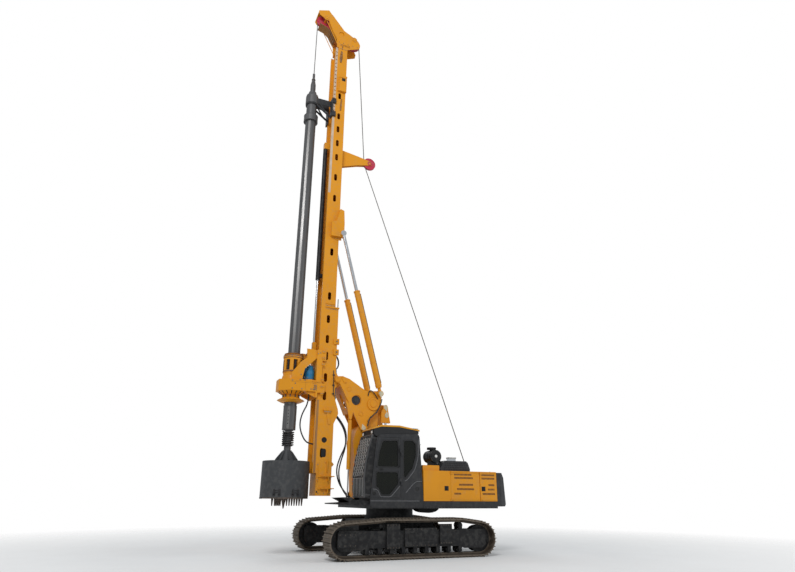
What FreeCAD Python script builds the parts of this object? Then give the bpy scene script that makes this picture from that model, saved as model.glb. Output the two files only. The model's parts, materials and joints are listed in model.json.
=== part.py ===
"""Rotary drilling rig: crawler undercarriage, slewing house, cab, parallelogram
boom, tilting mast, rotary drive, telescopic kelly bar and drilling bucket.

Millimetres. +X is forward, +Y is the cab's side and +Z is up. Everything is laid
out from the slewing axis at ground level and moved by SHIFT_X when it is written,
so that the origin is under the middle of the whole rig.
"""
import FreeCAD, Part
import math
import os

V = FreeCAD.Vector

# ---- fits that the whole rig shares ----
SEAT = 0.3              # gap between faces that rest on each other on two bodies
PIN_FIT = 0.05          # radial clearance of a pin in its eye
RUN = 6.0               # gap between moving parts

# ---- undercarriage ----
TRACK_SPAN = 4200.0     # over both tracks
SHOE_WIDTH = 700.0
TRACK_LENGTH = 5225.0   # out to the lugs' tips
TRACK_HEIGHT = 1065.0
WHEEL_TIP_R = 490.0     # end wheels, out to the lugs' tips
SHOE_THICK = 28.0
LUG_HEIGHT = 34.0
LINK_THICK = 60.0
LINK_WIDTH = 250.0
ARC_STEP = 15.0          # degrees between the chain's corners round a wheel
SHOE_COUNT = 52
GAUGE_TRAVEL = 600.0    # each side frame draws in by this for transport
CARRIER_X = (900.0, -1500.0)
CARRIER_BELT_R = 150.0
ROLLER_R = 85.0
ROLLER_COUNT = 9

END_WHEEL_X = TRACK_LENGTH / 2.0 - WHEEL_TIP_R
END_RIM_R = WHEEL_TIP_R - SHOE_THICK - LUG_HEIGHT - LINK_THICK
BEAM_TO_WHEEL = 54.5            # gap between the beam's end and the end wheel's rim
BEAM_END = END_WHEEL_X - END_RIM_R - BEAM_TO_WHEEL
SIDE_BEAM_Z = (300.0, 740.0)
SIDE_BEAM_WIDTH = 380.0
YOKE_REACH = END_WHEEL_X + 207.5
YOKE_ROOT = 200.0               # the yokes overlap the beam's end by this
YOKE_PAD = 560.0
YOKE_THICK = 60.0
ROLLER_SPAN = 2.0 * (BEAM_END - 250.0)      # from the first roller to the last
SIDE_PAD_THICK = 60.0

CROSS_BEAM_X = ((500.0, 900.0), (-1160.0, -770.0))
CROSS_BEAM_Z = (350.0, 850.0)
SLEEVE_WALL = 50.0
CARBODY_X = (-1250.0, 1250.0)
CARBODY_HALF_WIDTH = 640.0
CARBODY_Z = (470.0, 980.0)
TOW_EYE_X = 1350.0
TOW_EYE_Z = 640.0
TOW_EYE_R = 40.0
TOW_EYE_HALF = 30.0
SLEW_R = 740.0
SLEW_WALL = 160.0
PEDESTAL_TOP = 1100.0
SLEW_TOP = 1300.0

# ---- upper structure ----
HOUSE_HALF_WIDTH = 1500.0
FRAME_X = (-3100.0, 1236.0)
FRAME_Z = (1308.0, 1518.0)
RAIL_THICK = 80.0
DECK_THICK = 30.0
BAY_HALF_WIDTH = 480.0          # open middle bay, between the two housings
HOUSING_TOP = 2400.0
HOUSING_WALL = 30.0
HOUSING_FRONT = -495.0
DOOR_SEAMS = (-1428.0, -2483.0, -3090.0)
DOOR_GAP = 6.0
HOUSE_HINGE_OUT = 16.0          # hinge line outside the door's skin
HOUSE_HINGE_R = 10.0
HOUSE_HINGE_HEIGHT = 40.0
HINGE_PIN_R = 6.0
DOORWAY_Z = (1548.0, 2360.0)
DOOR_STRIP = 20.0               # strip of pillar left behind each door
TANK_FRONT = 760.0
TANK_TOP = 2180.0
TAIL_TOP_X = -3330.0
TAIL_X = -3500.0
TAIL_BOTTOM = 1365.0
TAIL_SHOULDER = 2230.0
ENGINE_X = (-2900.0, -1560.0)
ENGINE_Y = (640.0, HOUSE_HALF_WIDTH - 160.0)
ENGINE_TOP = 2340.0
HOOD_BASE_X = (-2190.0, -1130.0)
HOOD_TOP_X = (-2060.0, -1300.0)
HOOD_TOP = 2710.0
HOOD_Y = (640.0, HOUSE_HALF_WIDTH - 100.0)
HOOD_WALL = 25.0
STACK_X = (-1850.0, -1600.0)
STACK_HALF_WIDTH = 80.0
STACK_TOP = 2830.0
STACK_WALL = 12.0
FILTER_X = -1020.0
FILTER_Z = 2840.0
FILTER_R = 190.0
FILTER_Y = (780.0, 1330.0)
FILTER_CAP_R = 140.0
FILTER_CAP_TOP = 3120.0
RISER_X = (-1090.0, -520.0)     # raised cover ahead of the hood
RISER_Y = (900.0, 1400.0)
RISER_TOP = 2560.0
GUARD_BELLY_X = (-1160.0, -420.0)
GUARD_BELLY_Y = (800.0, 1200.0)
GUARD_BELLY_DROP = 150.0
WINCH_X = -2670.0
WINCH_Z = 2060.0
WINCH_DRUM_R = 362.0            # out to the rope's centre line
WINCH_FLANGE_R = 410.0
WINCH_HALF_LENGTH = 340.0
WINCH_STAND = 40.0
WINCH_AXLE_R = 90.0

# ---- cab ----
CAB_Y = (500.0, HOUSE_HALF_WIDTH)
CAB_WALL = 50.0
CAB_FRONT_LOW = 1236.0
CAB_PILLAR_TOP = (1053.0, 3320.0)
CAB_ROOF_FRONT = (920.0, 3415.0)
CAB_ROOF_REAR = (-320.0, 3470.0)
CAB_REAR_TOP = (-370.0, 3380.0)
CAB_REAR_LOW = -489.0
DOOR_X = (262.0, 1190.0)
DOOR_BOTTOM = 1600.0
DOOR_TOP = 3330.0
DOOR_HINGE_OUT = 30.0
DOOR_HINGE_R = 14.0
DOOR_HINGE_HEIGHT = 90.0
DOOR_HINGE_Z = (2060.0, 2900.0)
GUARD_REACH = 170.0             # front guard stands this far ahead of the glass
GUARD_BAR_R = 9.0
GUARD_ARM_R = 14.0
GUARD_STUB_R = 25.0
ROOF_GUARD_X = (-390.0, 1175.0)
PLATFORM_X = 2090.0
PLATFORM_TIP_X = 2290.0
GLASS = 8.0

# ---- boom linkage, (x, z) of its pins ----
SUPPORT_FOOT = (1160.0, 1640.0)
SUPPORT_HEAD = (1110.0, 3690.0)
BOOM_HEAD = (800.0, 4460.0)
BOOM_FOOT = (BOOM_HEAD[0] - SUPPORT_HEAD[0] + SUPPORT_FOOT[0],
             BOOM_HEAD[1] - SUPPORT_HEAD[1] + SUPPORT_FOOT[1])
LINK_HALF_WIDTH = 330.0         # boom and support arm
FOOT_PLATE = 50.0
PLATE_IN = 400.0                # triangle frame's side plates
PLATE_OUT = 450.0
PIN_R = 60.0
BOOM_PIN_R = 110.0
LUFF_FOOT = (200.0, 1750.0)     # luffing cylinders
LUFF_EYE = (330.0, 4400.0)
LUFF_Y = 330.0
LUFF_TUBE_R = 70.0
LUFF_ROD_R = 38.0
LUFF_TUBE_LENGTH = 1700.0
LUFF_ROD_SEAT = 420.0           # the rod ends in its head block this far below the eye
LUFF_EAR_Y = (195.0, 255.0)
LUFF_PIN_R = 40.0
MAST_PIVOT = (2040.0, 5180.0)
MAST_PIN_R = 90.0
STRUT_HEAD = (1560.0, 3980.0)   # slim levelling cylinder ahead of the linkage
STRUT_FOOT = (1560.0, 1610.0)
STRUT_Y = 400.0
STRUT_EYE_Y = (345.0, 394.0)
STRUT_PIN_R = 25.0
STRUT_EYE_R = 45.0
STRUT_EYE_HALF = 30.0
STRUT_TUBE_R = 62.0
STRUT_ROD_R = 22.0
STRUT_TUBE_LENGTH = 1560.0

# ---- mast ----
MAST_REAR = 2190.0
MAST_LOWER_REAR = 2080.0
MAST_FRONT = 2560.0
MAST_HALF_WIDTH = 340.0
MAST_WALL = 16.0
MAST_BOTTOM = 1650.0
MAST_JOINT = 7600.0
MAST_TOP = 18750.0
RAIL_X = 2680.0                 # front face of the carriage's rails
RAIL_INNER = 250.0
RAIL_BOTTOM = 2300.0
SLOT_X = 2420.0
ROUND_HOLE = (2375.0, 3276.0)
ROUND_HOLE_R = 48.0
SIDE_BOX_X = (2175.0, 2520.0)   # pads on the sides of the upper mast
SIDE_BOX_Z = (16560.0, 17200.0)
SIDE_BOX_THICK = 60.0
SLOT_SIZE = (110.0, 280.0)
SLOTS_LOWER = (2890.0, 4640.0, 5230.0, 5940.0, 6510.0, 7200.0)
SLOTS_UPPER = (8020.0, 9660.0, 11800.0, 12680.0, 13550.0, 14170.0, 14800.0, 15400.0, 16350.0)
TILT_FOOT = (580.0, 4810.0)     # mast cylinders
TILT_EYE = (2080.0, 10360.0)
TILT_Y = 520.0
TILT_TUBE_R = 100.0
TILT_ROD_R = 56.0
TILT_TUBE_START = 200.0         # the tube begins this far from the foot's pin
TILT_PIN_R = 48.0
TILT_TUBE_TOP = 3590.0          # from the foot's pin to the gland
TILT_EYE_R = 100.0
TILT_ROD_LENGTH = 2600.0
TILT_EYE_HALF = 60.0
HEAD_PLATE_Y = (275.0, 300.0)
HEAD_FLANGE = 110.0             # width of the strip under each head plate
FRONT_SHEAVE = (3120.0, 20100.0)
FRONT_SHEAVE_R = 300.0
REAR_SHEAVE = (1890.0, 19420.0)
REAR_SHEAVE_R = 290.0
DEFLECTOR = (1000.0, 13800.0)
DEFLECTOR_R = 210.0
SHEAVE_LIP = 40.0
SHEAVE_HALF = 38.0
SHEAVE_PIN_R = 50.0
ROPE_R = 16.0
CROWD_X = 2775.0
CROWD_TUBE_R = 80.0
CROWD_ROD_R = 45.0
CROWD_TUBE_Z = (8670.0, 13990.0)
CROWD_LUG_Z = 6430.0
CROWD_ROD_TOP = 11550.0

# ---- rotary drive, kelly bar and bucket ----
KELLY_X = 3420.0
CARRIAGE_Z = (4560.0, 6100.0)
CARRIAGE_PLATE = 60.0
CARRIAGE_HALF_WIDTH = 420.0
CHEEK_REAR = 2450.0             # the carriage's cheeks reach back to here
GUSSET_Y = (350.0, 380.0)
GEARBOX_Z = (4735.0, 5090.0)
GEARBOX_HALF_WIDTH = 450.0
GEARBOX_NOSE = 460.0            # ahead of the kelly bar
GEARBOX_CORNER = 147.0          # where the chamfered corner begins
MOTOR_X = 2900.0
MOTOR_Y = 170.0
MOTOR_R = 140.0
SLEEVE_R = 240.0
SLEEVE_BORE = 212.0
SLEEVE_Z = (4395.0, 5940.0)
DRUM_R = 315.0
DRUM_Z = (5330.0, 5910.0)
WINDOW_Z = (5400.0, 5740.0)
WINDOW_WIDTH = 130.0
WINDOW_COUNT = 8
DRUM_SPRING_R = 33.0
FLANGE_R = 430.0
FLANGE_Z = 4460.0
KELLY_R = 192.0
KELLY_BORE = 155.0
KELLY_BOTTOM = 3560.0
KELLY_BOX_R = 205.0
KELLY_BOX_TOP = 4300.0
KELLY_COLLAR_R = 262.0
KELLY_COLLAR_Z = (15040.0, 15290.0)
KELLY_HEAD_R = 242.0
KELLY_HEAD_Z = (15850.0, 16180.0)
KELLY_TOP = 16330.0
INNER_R = 145.0
INNER_TOP = 16420.0
SWIVEL_R = 100.0
SWIVEL_NECK_R = 48.0
SWIVEL_TOP = 17340.0
SPRING_Z = (3080.0, 3540.0)
GUIDE_Z = (15310.0, 16130.0)
GUIDE_ARM_IN = 150.0
GUIDE_PLATE = 25.0
BUCKET_R = 712.0
BUCKET_Z = (1600.0, 2626.0)
BUCKET_WALL = 20.0
BUCKET_HUB_Z = 2950.0
BUCKET_HUB_R = 285.0
BUCKET_RIB_R = 350.0
BUCKET_RIB = 24.0
STUB_R = 105.0
GATE_R = BUCKET_R - 6.0
GATE_THICK = 36.0
GATE_HINGE = (BUCKET_R - 25.0, 1580.0)      # ahead of the kelly bar, and its height
GATE_HINGE_R = 18.0
GATE_PIN_R = 9.0
GATE_EAR_Y = (65.0, 95.0)
TOOTH_ROW = 7
TOOTH_OUT = (GATE_R - 350.0, GATE_R - 140.0)    # outermost teeth, on the hinge's side and opposite
TOOTH_LENGTH = 200.0
PILOT_LENGTH = 275.0

# ---- hoses, each route as (x, z) points from gland to gland ----
HOSE_R = 22.0
GLAND_R = 32.0
HOSE_BLOCK_Y = (-20.0, 240.0)
MAST_HOSE_START = (1333.0, 1511.0)      # on the deck's slanted block
MAST_HOSE_END = (1963.0, 4083.0)        # on the mast's
DECK_GLAND_ROOT = (1285.0, 1463.0)
MAST_GLAND_ROOT = (2011.0, 4131.0)
OUTER_HOSE_Y = 180.0
OUTER_HOSE = (MAST_HOSE_START, (1565.0, 1743.0), (1800.0, 2040.0), (1885.0, 2430.0), (1770.0, 2800.0),
              (1600.0, 3140.0), (1580.0, 3540.0), (1770.0, 3890.0), MAST_HOSE_END)
INNER_HOSE_Y = 60.0
INNER_HOSE = (MAST_HOSE_START, (1545.0, 1723.0), (1715.0, 2030.0), (1770.0, 2400.0), (1680.0, 2760.0),
              (1560.0, 3110.0), (1570.0, 3500.0), (1745.0, 3865.0), MAST_HOSE_END)
DRIVE_HOSE_Y = 200.0
DRIVE_HOSE = ((2900.0, 4690.0), (2900.0, 4390.0), (3075.0, 4070.0), (3140.0, 3720.0), (3040.0, 3390.0),
              (2850.0, 3150.0), (2610.0, 3150.0))

REACH_FRONT = KELLY_X + BUCKET_R
SHIFT_X = -(REACH_FRONT + TAIL_X) / 2.0


# ---- small helpers ----
def box(x, y, z):
    """A block from three (low, high) pairs."""
    return Part.makeBox(x[1] - x[0], y[1] - y[0], z[1] - z[0], V(x[0], y[0], z[0]))


def cyl_x(radius, y, z, x):
    return Part.makeCylinder(radius, x[1] - x[0], V(x[0], y, z), V(1, 0, 0))


def cyl_y(radius, centre, y):
    """A cylinder along Y round the (x, z) centre."""
    return Part.makeCylinder(radius, y[1] - y[0], V(centre[0], y[0], centre[1]), V(0, 1, 0))


def cyl_z(radius, x, y, z):
    return Part.makeCylinder(radius, z[1] - z[0], V(x, y, z[0]), V(0, 0, 1))


def cone_z(low_radius, high_radius, x, z):
    return Part.makeCone(low_radius, high_radius, z[1] - z[0], V(x, 0, z[0]), V(0, 0, 1))


def ring_z(outer, inner, x, z):
    return cyl_z(outer, x, 0, z).cut(cyl_z(inner, x, 0, (z[0] - 1, z[1] + 1)))


def prism_y(outline, y):
    """An (x, z) outline carried along Y."""
    points = [V(x, y[0], z) for x, z in outline]
    return Part.Face(Part.makePolygon(points + points[:1])).extrude(V(0, y[1] - y[0], 0))


def prism_z(outline, z):
    """An (x, y) outline carried along Z."""
    points = [V(x, y, z[0]) for x, y in outline]
    return Part.Face(Part.makePolygon(points + points[:1])).extrude(V(0, 0, z[1] - z[0]))


def fuse(shapes):
    shapes = list(shapes)
    if len(shapes) == 1:
        return shapes[0]
    return shapes[0].fuse(shapes[1:]).removeSplitter()


def mirror(shape):
    """The same piece on the other side of the rig's middle plane."""
    return shape.mirror(V(0, 0, 0), V(0, 1, 0))


def both(shape):
    return [shape, mirror(shape)]


def side_band(side, low, high):
    """The (low, high) pair of a Y band, on the +1 or -1 side."""
    if side > 0:
        return (low, high)
    return (-high, -low)


def slot_y(centre, width, height, y):
    """A vertical slot with round ends, cut along Y."""
    radius = width / 2.0
    run = height / 2.0 - radius
    x, z = centre
    middle = box((x - radius, x + radius), y, (z - run, z + run))
    ends = [cyl_y(radius, (x, z + offset), y) for offset in (-run, run)]
    return fuse([middle] + ends)


def toward(start, end, distance):
    """The point that lies distance from start on the line to end, in (x, z)."""
    span = math.hypot(end[0] - start[0], end[1] - start[1])
    share = distance / span
    return (start[0] + (end[0] - start[0]) * share, start[1] + (end[1] - start[1]) * share)


def reach(start, end):
    return math.hypot(end[0] - start[0], end[1] - start[1])


def bar(start, end, radius, y):
    """A round bar in the plane at y, from one (x, z) point to another."""
    way = V(end[0] - start[0], 0, end[1] - start[1])
    return Part.makeCylinder(radius, way.Length, V(start[0], y, start[1]), way)


# ---- undercarriage ----
def hose(name, route, y):
    """Round hose of straight runs, joined by the largest arcs that they leave room for."""
    points = [V(x, y, z) for x, z in route]
    edges = []
    radii = []
    start = points[0]
    for before, corner, after in zip(points, points[1:], points[2:]):
        back = before - corner
        ahead = after - corner
        trim = 0.45 * min(back.Length, ahead.Length)
        half_turn = (math.pi - back.getAngle(ahead)) / 2.0
        radii.append(trim / math.tan(half_turn))
        back.normalize()
        ahead.normalize()
        middle = back + ahead
        middle.normalize()
        bow = corner + middle * (radii[-1] / math.cos(half_turn) - radii[-1])
        edges.append(Part.LineSegment(start, corner + back * trim).toShape())
        edges.append(Part.Arc(corner + back * trim, bow, corner + ahead * trim).toShape())
        start = corner + ahead * trim
    edges.append(Part.LineSegment(start, points[-1]).toShape())
    path = Part.Wire(edges)
    end = Part.Wire([Part.makeCircle(HOSE_R, points[0], points[1] - points[0])])
    print(name, "length", round(path.Length), "mm, radii", [round(radius) for radius in radii])
    return path.makePipeShell([end], True, False)


def hose_block(outline, root, end):
    """Block with a slanted face that carries a gland for each mast hose."""
    glands = [bar(root, end, GLAND_R, y) for y in (OUTER_HOSE_Y, INNER_HOSE_Y)]
    return fuse([prism_y(outline, HOSE_BLOCK_Y)] + glands)


def track_belt():
    """Circles that the shoes' inner faces run round: front wheel, carriers, rear wheel."""
    depth = SHOE_THICK + LUG_HEIGHT
    wheel_r = WHEEL_TIP_R - depth
    carrier_z = TRACK_HEIGHT - depth - CARRIER_BELT_R
    circles = [(END_WHEEL_X, WHEEL_TIP_R, wheel_r)]
    circles += [(x, carrier_z, CARRIER_BELT_R) for x in CARRIER_X]
    circles += [(-END_WHEEL_X, WHEEL_TIP_R, wheel_r)]
    return circles


def belt_runs(circles):
    """Straight runs and arcs of a belt round the circles, in order."""
    angles = []
    count = len(circles)
    for index, (x, z, radius) in enumerate(circles):
        next_x, next_z, next_radius = circles[(index + 1) % count]
        heading = math.atan2(next_z - z, next_x - x)
        span = math.hypot(next_x - x, next_z - z)
        angles.append(heading - math.acos((radius - next_radius) / span))
    runs = []
    for index, (x, z, radius) in enumerate(circles):
        begin = angles[index - 1]
        turn = (angles[index] - begin) % (2.0 * math.pi)
        runs.append(("arc", (x, z), radius, begin, turn))
        next_x, next_z, next_radius = circles[(index + 1) % count]
        angle = angles[index]
        leave = (x + radius * math.cos(angle), z + radius * math.sin(angle))
        arrive = (next_x + next_radius * math.cos(angle), next_z + next_radius * math.sin(angle))
        runs.append(("line", leave, arrive))
    return runs


def run_length(run):
    if run[0] == "arc":
        return run[2] * run[4]
    return reach(run[1], run[2])


def belt_point(runs, distance):
    """The point at a distance along the belt."""
    for run in runs:
        length = run_length(run)
        if distance <= length:
            break
        distance -= length
    if run[0] == "arc":
        angle = run[3] + distance / run[2]
        return (run[1][0] + run[2] * math.cos(angle), run[1][1] + run[2] * math.sin(angle))
    return toward(run[1], run[2], distance)


def track_outline():
    """Outer outline of the loop: every shoe a flat plate with two lugs."""
    runs = belt_runs(track_belt())
    pitch = sum(run_length(run) for run in runs) / SHOE_COUNT
    plate = SHOE_THICK
    tip = SHOE_THICK + LUG_HEIGHT
    profile = [(0.03, 0.0), (0.03, tip), (0.12, tip), (0.15, plate), (0.50, plate),
               (0.53, tip), (0.62, tip), (0.65, plate), (0.97, plate), (0.97, 0.0)]
    points = []
    for shoe in range(SHOE_COUNT):
        start = belt_point(runs, shoe * pitch)
        end = belt_point(runs, (shoe + 1) % SHOE_COUNT * pitch)
        along = (end[0] - start[0], end[1] - start[1])
        length = math.hypot(along[0], along[1])
        outward = (along[1] / length, -along[0] / length)
        for share, height in profile:
            points.append((start[0] + along[0] * share + outward[0] * height,
                           start[1] + along[1] * share + outward[1] * height))
    return points


def belt_outline(inset):
    """The belt's path as a plain outline, drawn in by inset."""
    points = []
    for run in belt_runs([(x, z, radius - inset) for x, z, radius in track_belt()]):
        if run[0] != "arc":
            continue
        steps = int(math.degrees(run[4]) / ARC_STEP) + 1
        for step in range(steps + 1):
            angle = run[3] + run[4] * step / steps
            points.append((run[1][0] + run[2] * math.cos(angle),
                           run[1][1] + run[2] * math.sin(angle)))
    return points


def track(side):
    """One closed loop of shoes on its chain."""
    middle = side * (TRACK_SPAN - SHOE_WIDTH) / 2.0
    wide = (middle - SHOE_WIDTH / 2.0, middle + SHOE_WIDTH / 2.0)
    narrow = (middle - LINK_WIDTH / 2.0, middle + LINK_WIDTH / 2.0)
    shoe_inset = 6.0
    shoes = prism_y(track_outline(), wide).cut(prism_y(belt_outline(shoe_inset), wide))
    links = prism_y(belt_outline(0.0), narrow).cut(prism_y(belt_outline(LINK_THICK), narrow))
    return fuse([shoes, links])


def beam_middle(side):
    return side * (TRACK_SPAN - SHOE_WIDTH) / 2.0


def running_wheels(side):
    """Front wheel, drive sprocket and rollers, which stand in the side frame."""
    middle = beam_middle(side)
    rim_r = END_RIM_R * math.cos(math.radians(ARC_STEP / 2.0)) - SEAT
    half = 110.0
    hub = SIDE_BEAM_WIDTH / 2.0 - YOKE_THICK
    wheels = []
    for x in (END_WHEEL_X, -END_WHEEL_X):
        centre = (x, WHEEL_TIP_R)
        rim = cyl_y(rim_r, centre, (middle - half, middle + half))
        wheels.append(fuse([rim, cyl_y(130.0, centre, (middle - hub, middle + hub))]))
    roller_z = SHOE_THICK + LUG_HEIGHT + LINK_THICK + ROLLER_R
    pitch = ROLLER_SPAN / (ROLLER_COUNT - 1)
    for index in range(ROLLER_COUNT):
        centre = (-ROLLER_SPAN / 2.0 + index * pitch, roller_z)
        wheels.append(cyl_y(ROLLER_R - SEAT, centre, (middle - hub, middle + hub)))
    for x, z, radius in track_belt()[1:3]:
        carrier_r = radius - LINK_THICK - SEAT
        wheels.append(cyl_y(carrier_r, (x, z), (middle - half, middle + half)))
    return Part.makeCompound(wheels)


def side_frame(side):
    """Beam, wheel yokes, roller brackets, outer pads and the two cross beams."""
    middle = beam_middle(side)
    half = SIDE_BEAM_WIDTH / 2.0
    pieces = [box((-BEAM_END, BEAM_END), (middle - half, middle + half), SIDE_BEAM_Z)]
    root = BEAM_END - YOKE_ROOT
    for inner, outer in ((middle - half, middle - half + YOKE_THICK),
                         (middle + half - YOKE_THICK, middle + half)):
        outline = [(root, 300.0), (root + 100.0, 240.0), (YOKE_REACH - 120.0, 240.0),
                   (YOKE_REACH, 340.0), (YOKE_REACH, 690.0), (YOKE_REACH - 60.0, 750.0), (root, 750.0)]
        pieces.append(prism_y(outline, (inner, outer)))
        pieces.append(prism_y([(-x, z) for x, z in outline], (inner, outer)))
        roller_z = SHOE_THICK + LUG_HEIGHT + LINK_THICK + ROLLER_R
        pitch = ROLLER_SPAN / (ROLLER_COUNT - 1)
        for index in range(ROLLER_COUNT):
            x = -ROLLER_SPAN / 2.0 + index * pitch
            pieces.append(box((x - 55.0, x + 55.0), (inner, outer), (roller_z - 45.0, 310.0)))
    for x, z, radius in track_belt()[1:3]:
        for inner, outer in ((middle - 140.0, middle - 110.0), (middle + 110.0, middle + 140.0)):
            pieces.append(box((x - 60.0, x + 60.0), (inner, outer), (SIDE_BEAM_Z[1] - 5.0, z + 50.0)))
    outer_face = side_band(side, abs(middle) + half, abs(middle) + half + SIDE_PAD_THICK)
    for x, z in (((500.0, 900.0), (270.0, 920.0)), ((-1160.0, -770.0), (360.0, 900.0)),
                 ((-670.0, 350.0), (320.0, 800.0)),
                 ((YOKE_REACH - YOKE_PAD, YOKE_REACH), (340.0, 690.0))):
        pieces.append(box(x, outer_face, z))
    inner_reach = CARBODY_HALF_WIDTH + 130.0 - GAUGE_TRAVEL
    for low, high in CROSS_BEAM_X:
        split = (low + high) / 2.0 + side * RUN / 2.0
        span = side_band(side, inner_reach, abs(middle) - half + 20.0)
        lane = (split, high) if side > 0 else (low, split)
        pieces.append(box(lane, span, (CROSS_BEAM_Z[0], SIDE_BEAM_Z[1])))
    return fuse(pieces)


def carbody():
    """Centre frame with the sleeves that the side frames' beams slide in."""
    half = CARBODY_HALF_WIDTH
    body = [box(CARBODY_X, (-half, half), CARBODY_Z)]
    body.append(cyl_z(SLEW_R + 40.0, 0, 0, (CARBODY_Z[1] - 80.0, PEDESTAL_TOP)))
    sleeve_half = half + 140.0
    low = CROSS_BEAM_Z[0] - SEAT
    high = SIDE_BEAM_Z[1] + SEAT
    for x in CROSS_BEAM_X:
        outer = (x[0] - RUN - SLEEVE_WALL, x[1] + RUN + SLEEVE_WALL)
        body.append(box(outer, (-sleeve_half, sleeve_half), (low - SLEEVE_WALL, high + SLEEVE_WALL)))
    solid = fuse(body)
    for x in CROSS_BEAM_X:
        hole = box((x[0] - RUN, x[1] + RUN), (-sleeve_half - 1, sleeve_half + 1), (low, high))
        solid = solid.cut(hole)
    depth = (TOW_EYE_Z - TOW_EYE_HALF, TOW_EYE_Z + TOW_EYE_HALF)
    lug = fuse([box((CARBODY_X[1] - 5.0, TOW_EYE_X), (-90.0, 90.0), depth), cyl_z(90.0, TOW_EYE_X, 0, depth)])
    return fuse([solid, lug]).cut(cyl_z(TOW_EYE_R, TOW_EYE_X, 0, (depth[0] - 1, depth[1] + 1)))


def slew_ring():
    return ring_z(SLEW_R, SLEW_R - SLEW_WALL, 0, (PEDESTAL_TOP, SLEW_TOP))


# ---- upper structure ----
def upper_frame():
    """Deck, side rails, middle beams, ring seat, boom foot plates and winch stands."""
    width = HOUSE_HALF_WIDTH
    deck = box(FRAME_X, (-width, width), (FRAME_Z[1] - DECK_THICK, FRAME_Z[1]))
    pieces = [deck]
    pieces += both(box(FRAME_X, (width - RAIL_THICK, width), FRAME_Z))
    pieces += both(box(FRAME_X, (360.0, 440.0), FRAME_Z))
    for x in (FRAME_X[0], FRAME_X[1] - RAIL_THICK):
        pieces.append(box((x, x + RAIL_THICK), (-width, width), FRAME_Z))
    pieces.append(cyl_z(SLEW_R, 0, 0, (SLEW_TOP + SEAT, FRAME_Z[1] - DECK_THICK)))
    pieces += both(foot_plate())
    pieces += both(winch_stand())
    pieces += both(luff_foot())
    pieces.append(strut_foot())
    pieces.append(front_platform())
    pieces.append(belly_guard())
    front = FRAME_X[1]
    pieces.append(hose_block([(front - 6.0, 1400.0), (front + 104.0, 1400.0), (front + 104.0, 1440.0),
                              (front + 26.0, 1518.0), (front - 6.0, 1518.0)], DECK_GLAND_ROOT,
                             MAST_HOSE_START))
    return fuse(pieces)


def foot_plate():
    """Tall plate that carries the boom's and the support arm's foot pins."""
    x, z = SUPPORT_FOOT
    boom_x, boom_z = BOOM_FOOT
    deck = FRAME_Z[1] - 5.0
    outline = [(boom_x - 330.0, deck), (x + 170.0, deck), (x + 170.0, z + 40.0), (x + 90.0, z + 150.0),
               (boom_x + 170.0, boom_z - 20.0), (boom_x + 90.0, boom_z + 150.0),
               (boom_x - 90.0, boom_z + 150.0), (boom_x - 170.0, boom_z - 20.0)]
    inner = LINK_HALF_WIDTH + RUN
    plate = prism_y(outline, (inner, inner + FOOT_PLATE))
    pins = [cyl_y(PIN_R, SUPPORT_FOOT, (LINK_HALF_WIDTH - 70.0, inner + FOOT_PLATE + 20.0)),
            cyl_y(PIN_R, BOOM_FOOT, (LINK_HALF_WIDTH - 70.0, inner + FOOT_PLATE + 20.0))]
    return fuse([plate] + pins)


def winch_stand():
    inner = WINCH_HALF_LENGTH + RUN
    outline = [(WINCH_X - 400.0, FRAME_Z[1] - 5.0), (WINCH_X + 400.0, FRAME_Z[1] - 5.0),
               (WINCH_X + 160.0, WINCH_Z + 150.0), (WINCH_X - 160.0, WINCH_Z + 150.0)]
    plate = prism_y(outline, (inner, inner + WINCH_STAND))
    axle = cyl_y(WINCH_AXLE_R, (WINCH_X, WINCH_Z), (inner - 100.0, inner + WINCH_STAND))
    return fuse([plate, axle])


def luff_foot():
    """Lug and pin under a luffing cylinder."""
    x, z = LUFF_FOOT
    inner = LUFF_Y - LUFF_TUBE_R - RUN - 30.0
    outer = LUFF_Y - LUFF_TUBE_R - RUN
    outline = [(x - 130.0, FRAME_Z[1] - 5.0), (x + 130.0, FRAME_Z[1] - 5.0), (x + 70.0, z + 80.0),
               (x - 70.0, z + 80.0)]
    pin = cyl_y(LUFF_PIN_R, LUFF_FOOT, (inner, LUFF_Y + LUFF_TUBE_R))
    return fuse([prism_y(outline, (inner, outer)), pin])


def strut_foot():
    """Lug inboard of the step plate for the slim cylinder's rod."""
    x, z = STRUT_FOOT
    face = STRUT_Y + STRUT_EYE_HALF + SEAT
    return box((x - 60.0, x + 60.0), (face, CAB_Y[0] - 10.0), (1430.0, z + 50.0))


def front_platform():
    """Black step plate ahead of the cab, with its raised tip."""
    low = CAB_Y[0] - 20.0
    outline = [(FRAME_X[1] - 20.0, 1420.0), (1700.0, 1400.0), (PLATFORM_TIP_X, 1425.0),
               (PLATFORM_TIP_X, 1455.0), (1830.0, 1480.0), (PLATFORM_X, 1600.0), (1760.0, 1615.0),
               (1720.0, 1540.0), (1440.0, 1540.0), (FRAME_X[1] - 20.0, 1500.0)]
    return prism_y(outline, (low, HOUSE_HALF_WIDTH - 60.0))


def belly_guard():
    """Curved cover that hangs below the frame behind the ring."""
    middle = (GUARD_BELLY_X[0] + GUARD_BELLY_X[1]) / 2.0
    half = (GUARD_BELLY_X[1] - GUARD_BELLY_X[0]) / 2.0
    top = FRAME_Z[0] + 20.0
    steps = 8
    arc = [(middle + half * math.cos(math.pi * step / steps), top - GUARD_BELLY_DROP * math.sin(math.pi * step / steps))
           for step in range(steps + 1)]
    deck = FRAME_Z[1] - 5.0
    return prism_y([(middle + half, deck)] + arc + [(middle - half, deck)], GUARD_BELLY_Y)


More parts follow.
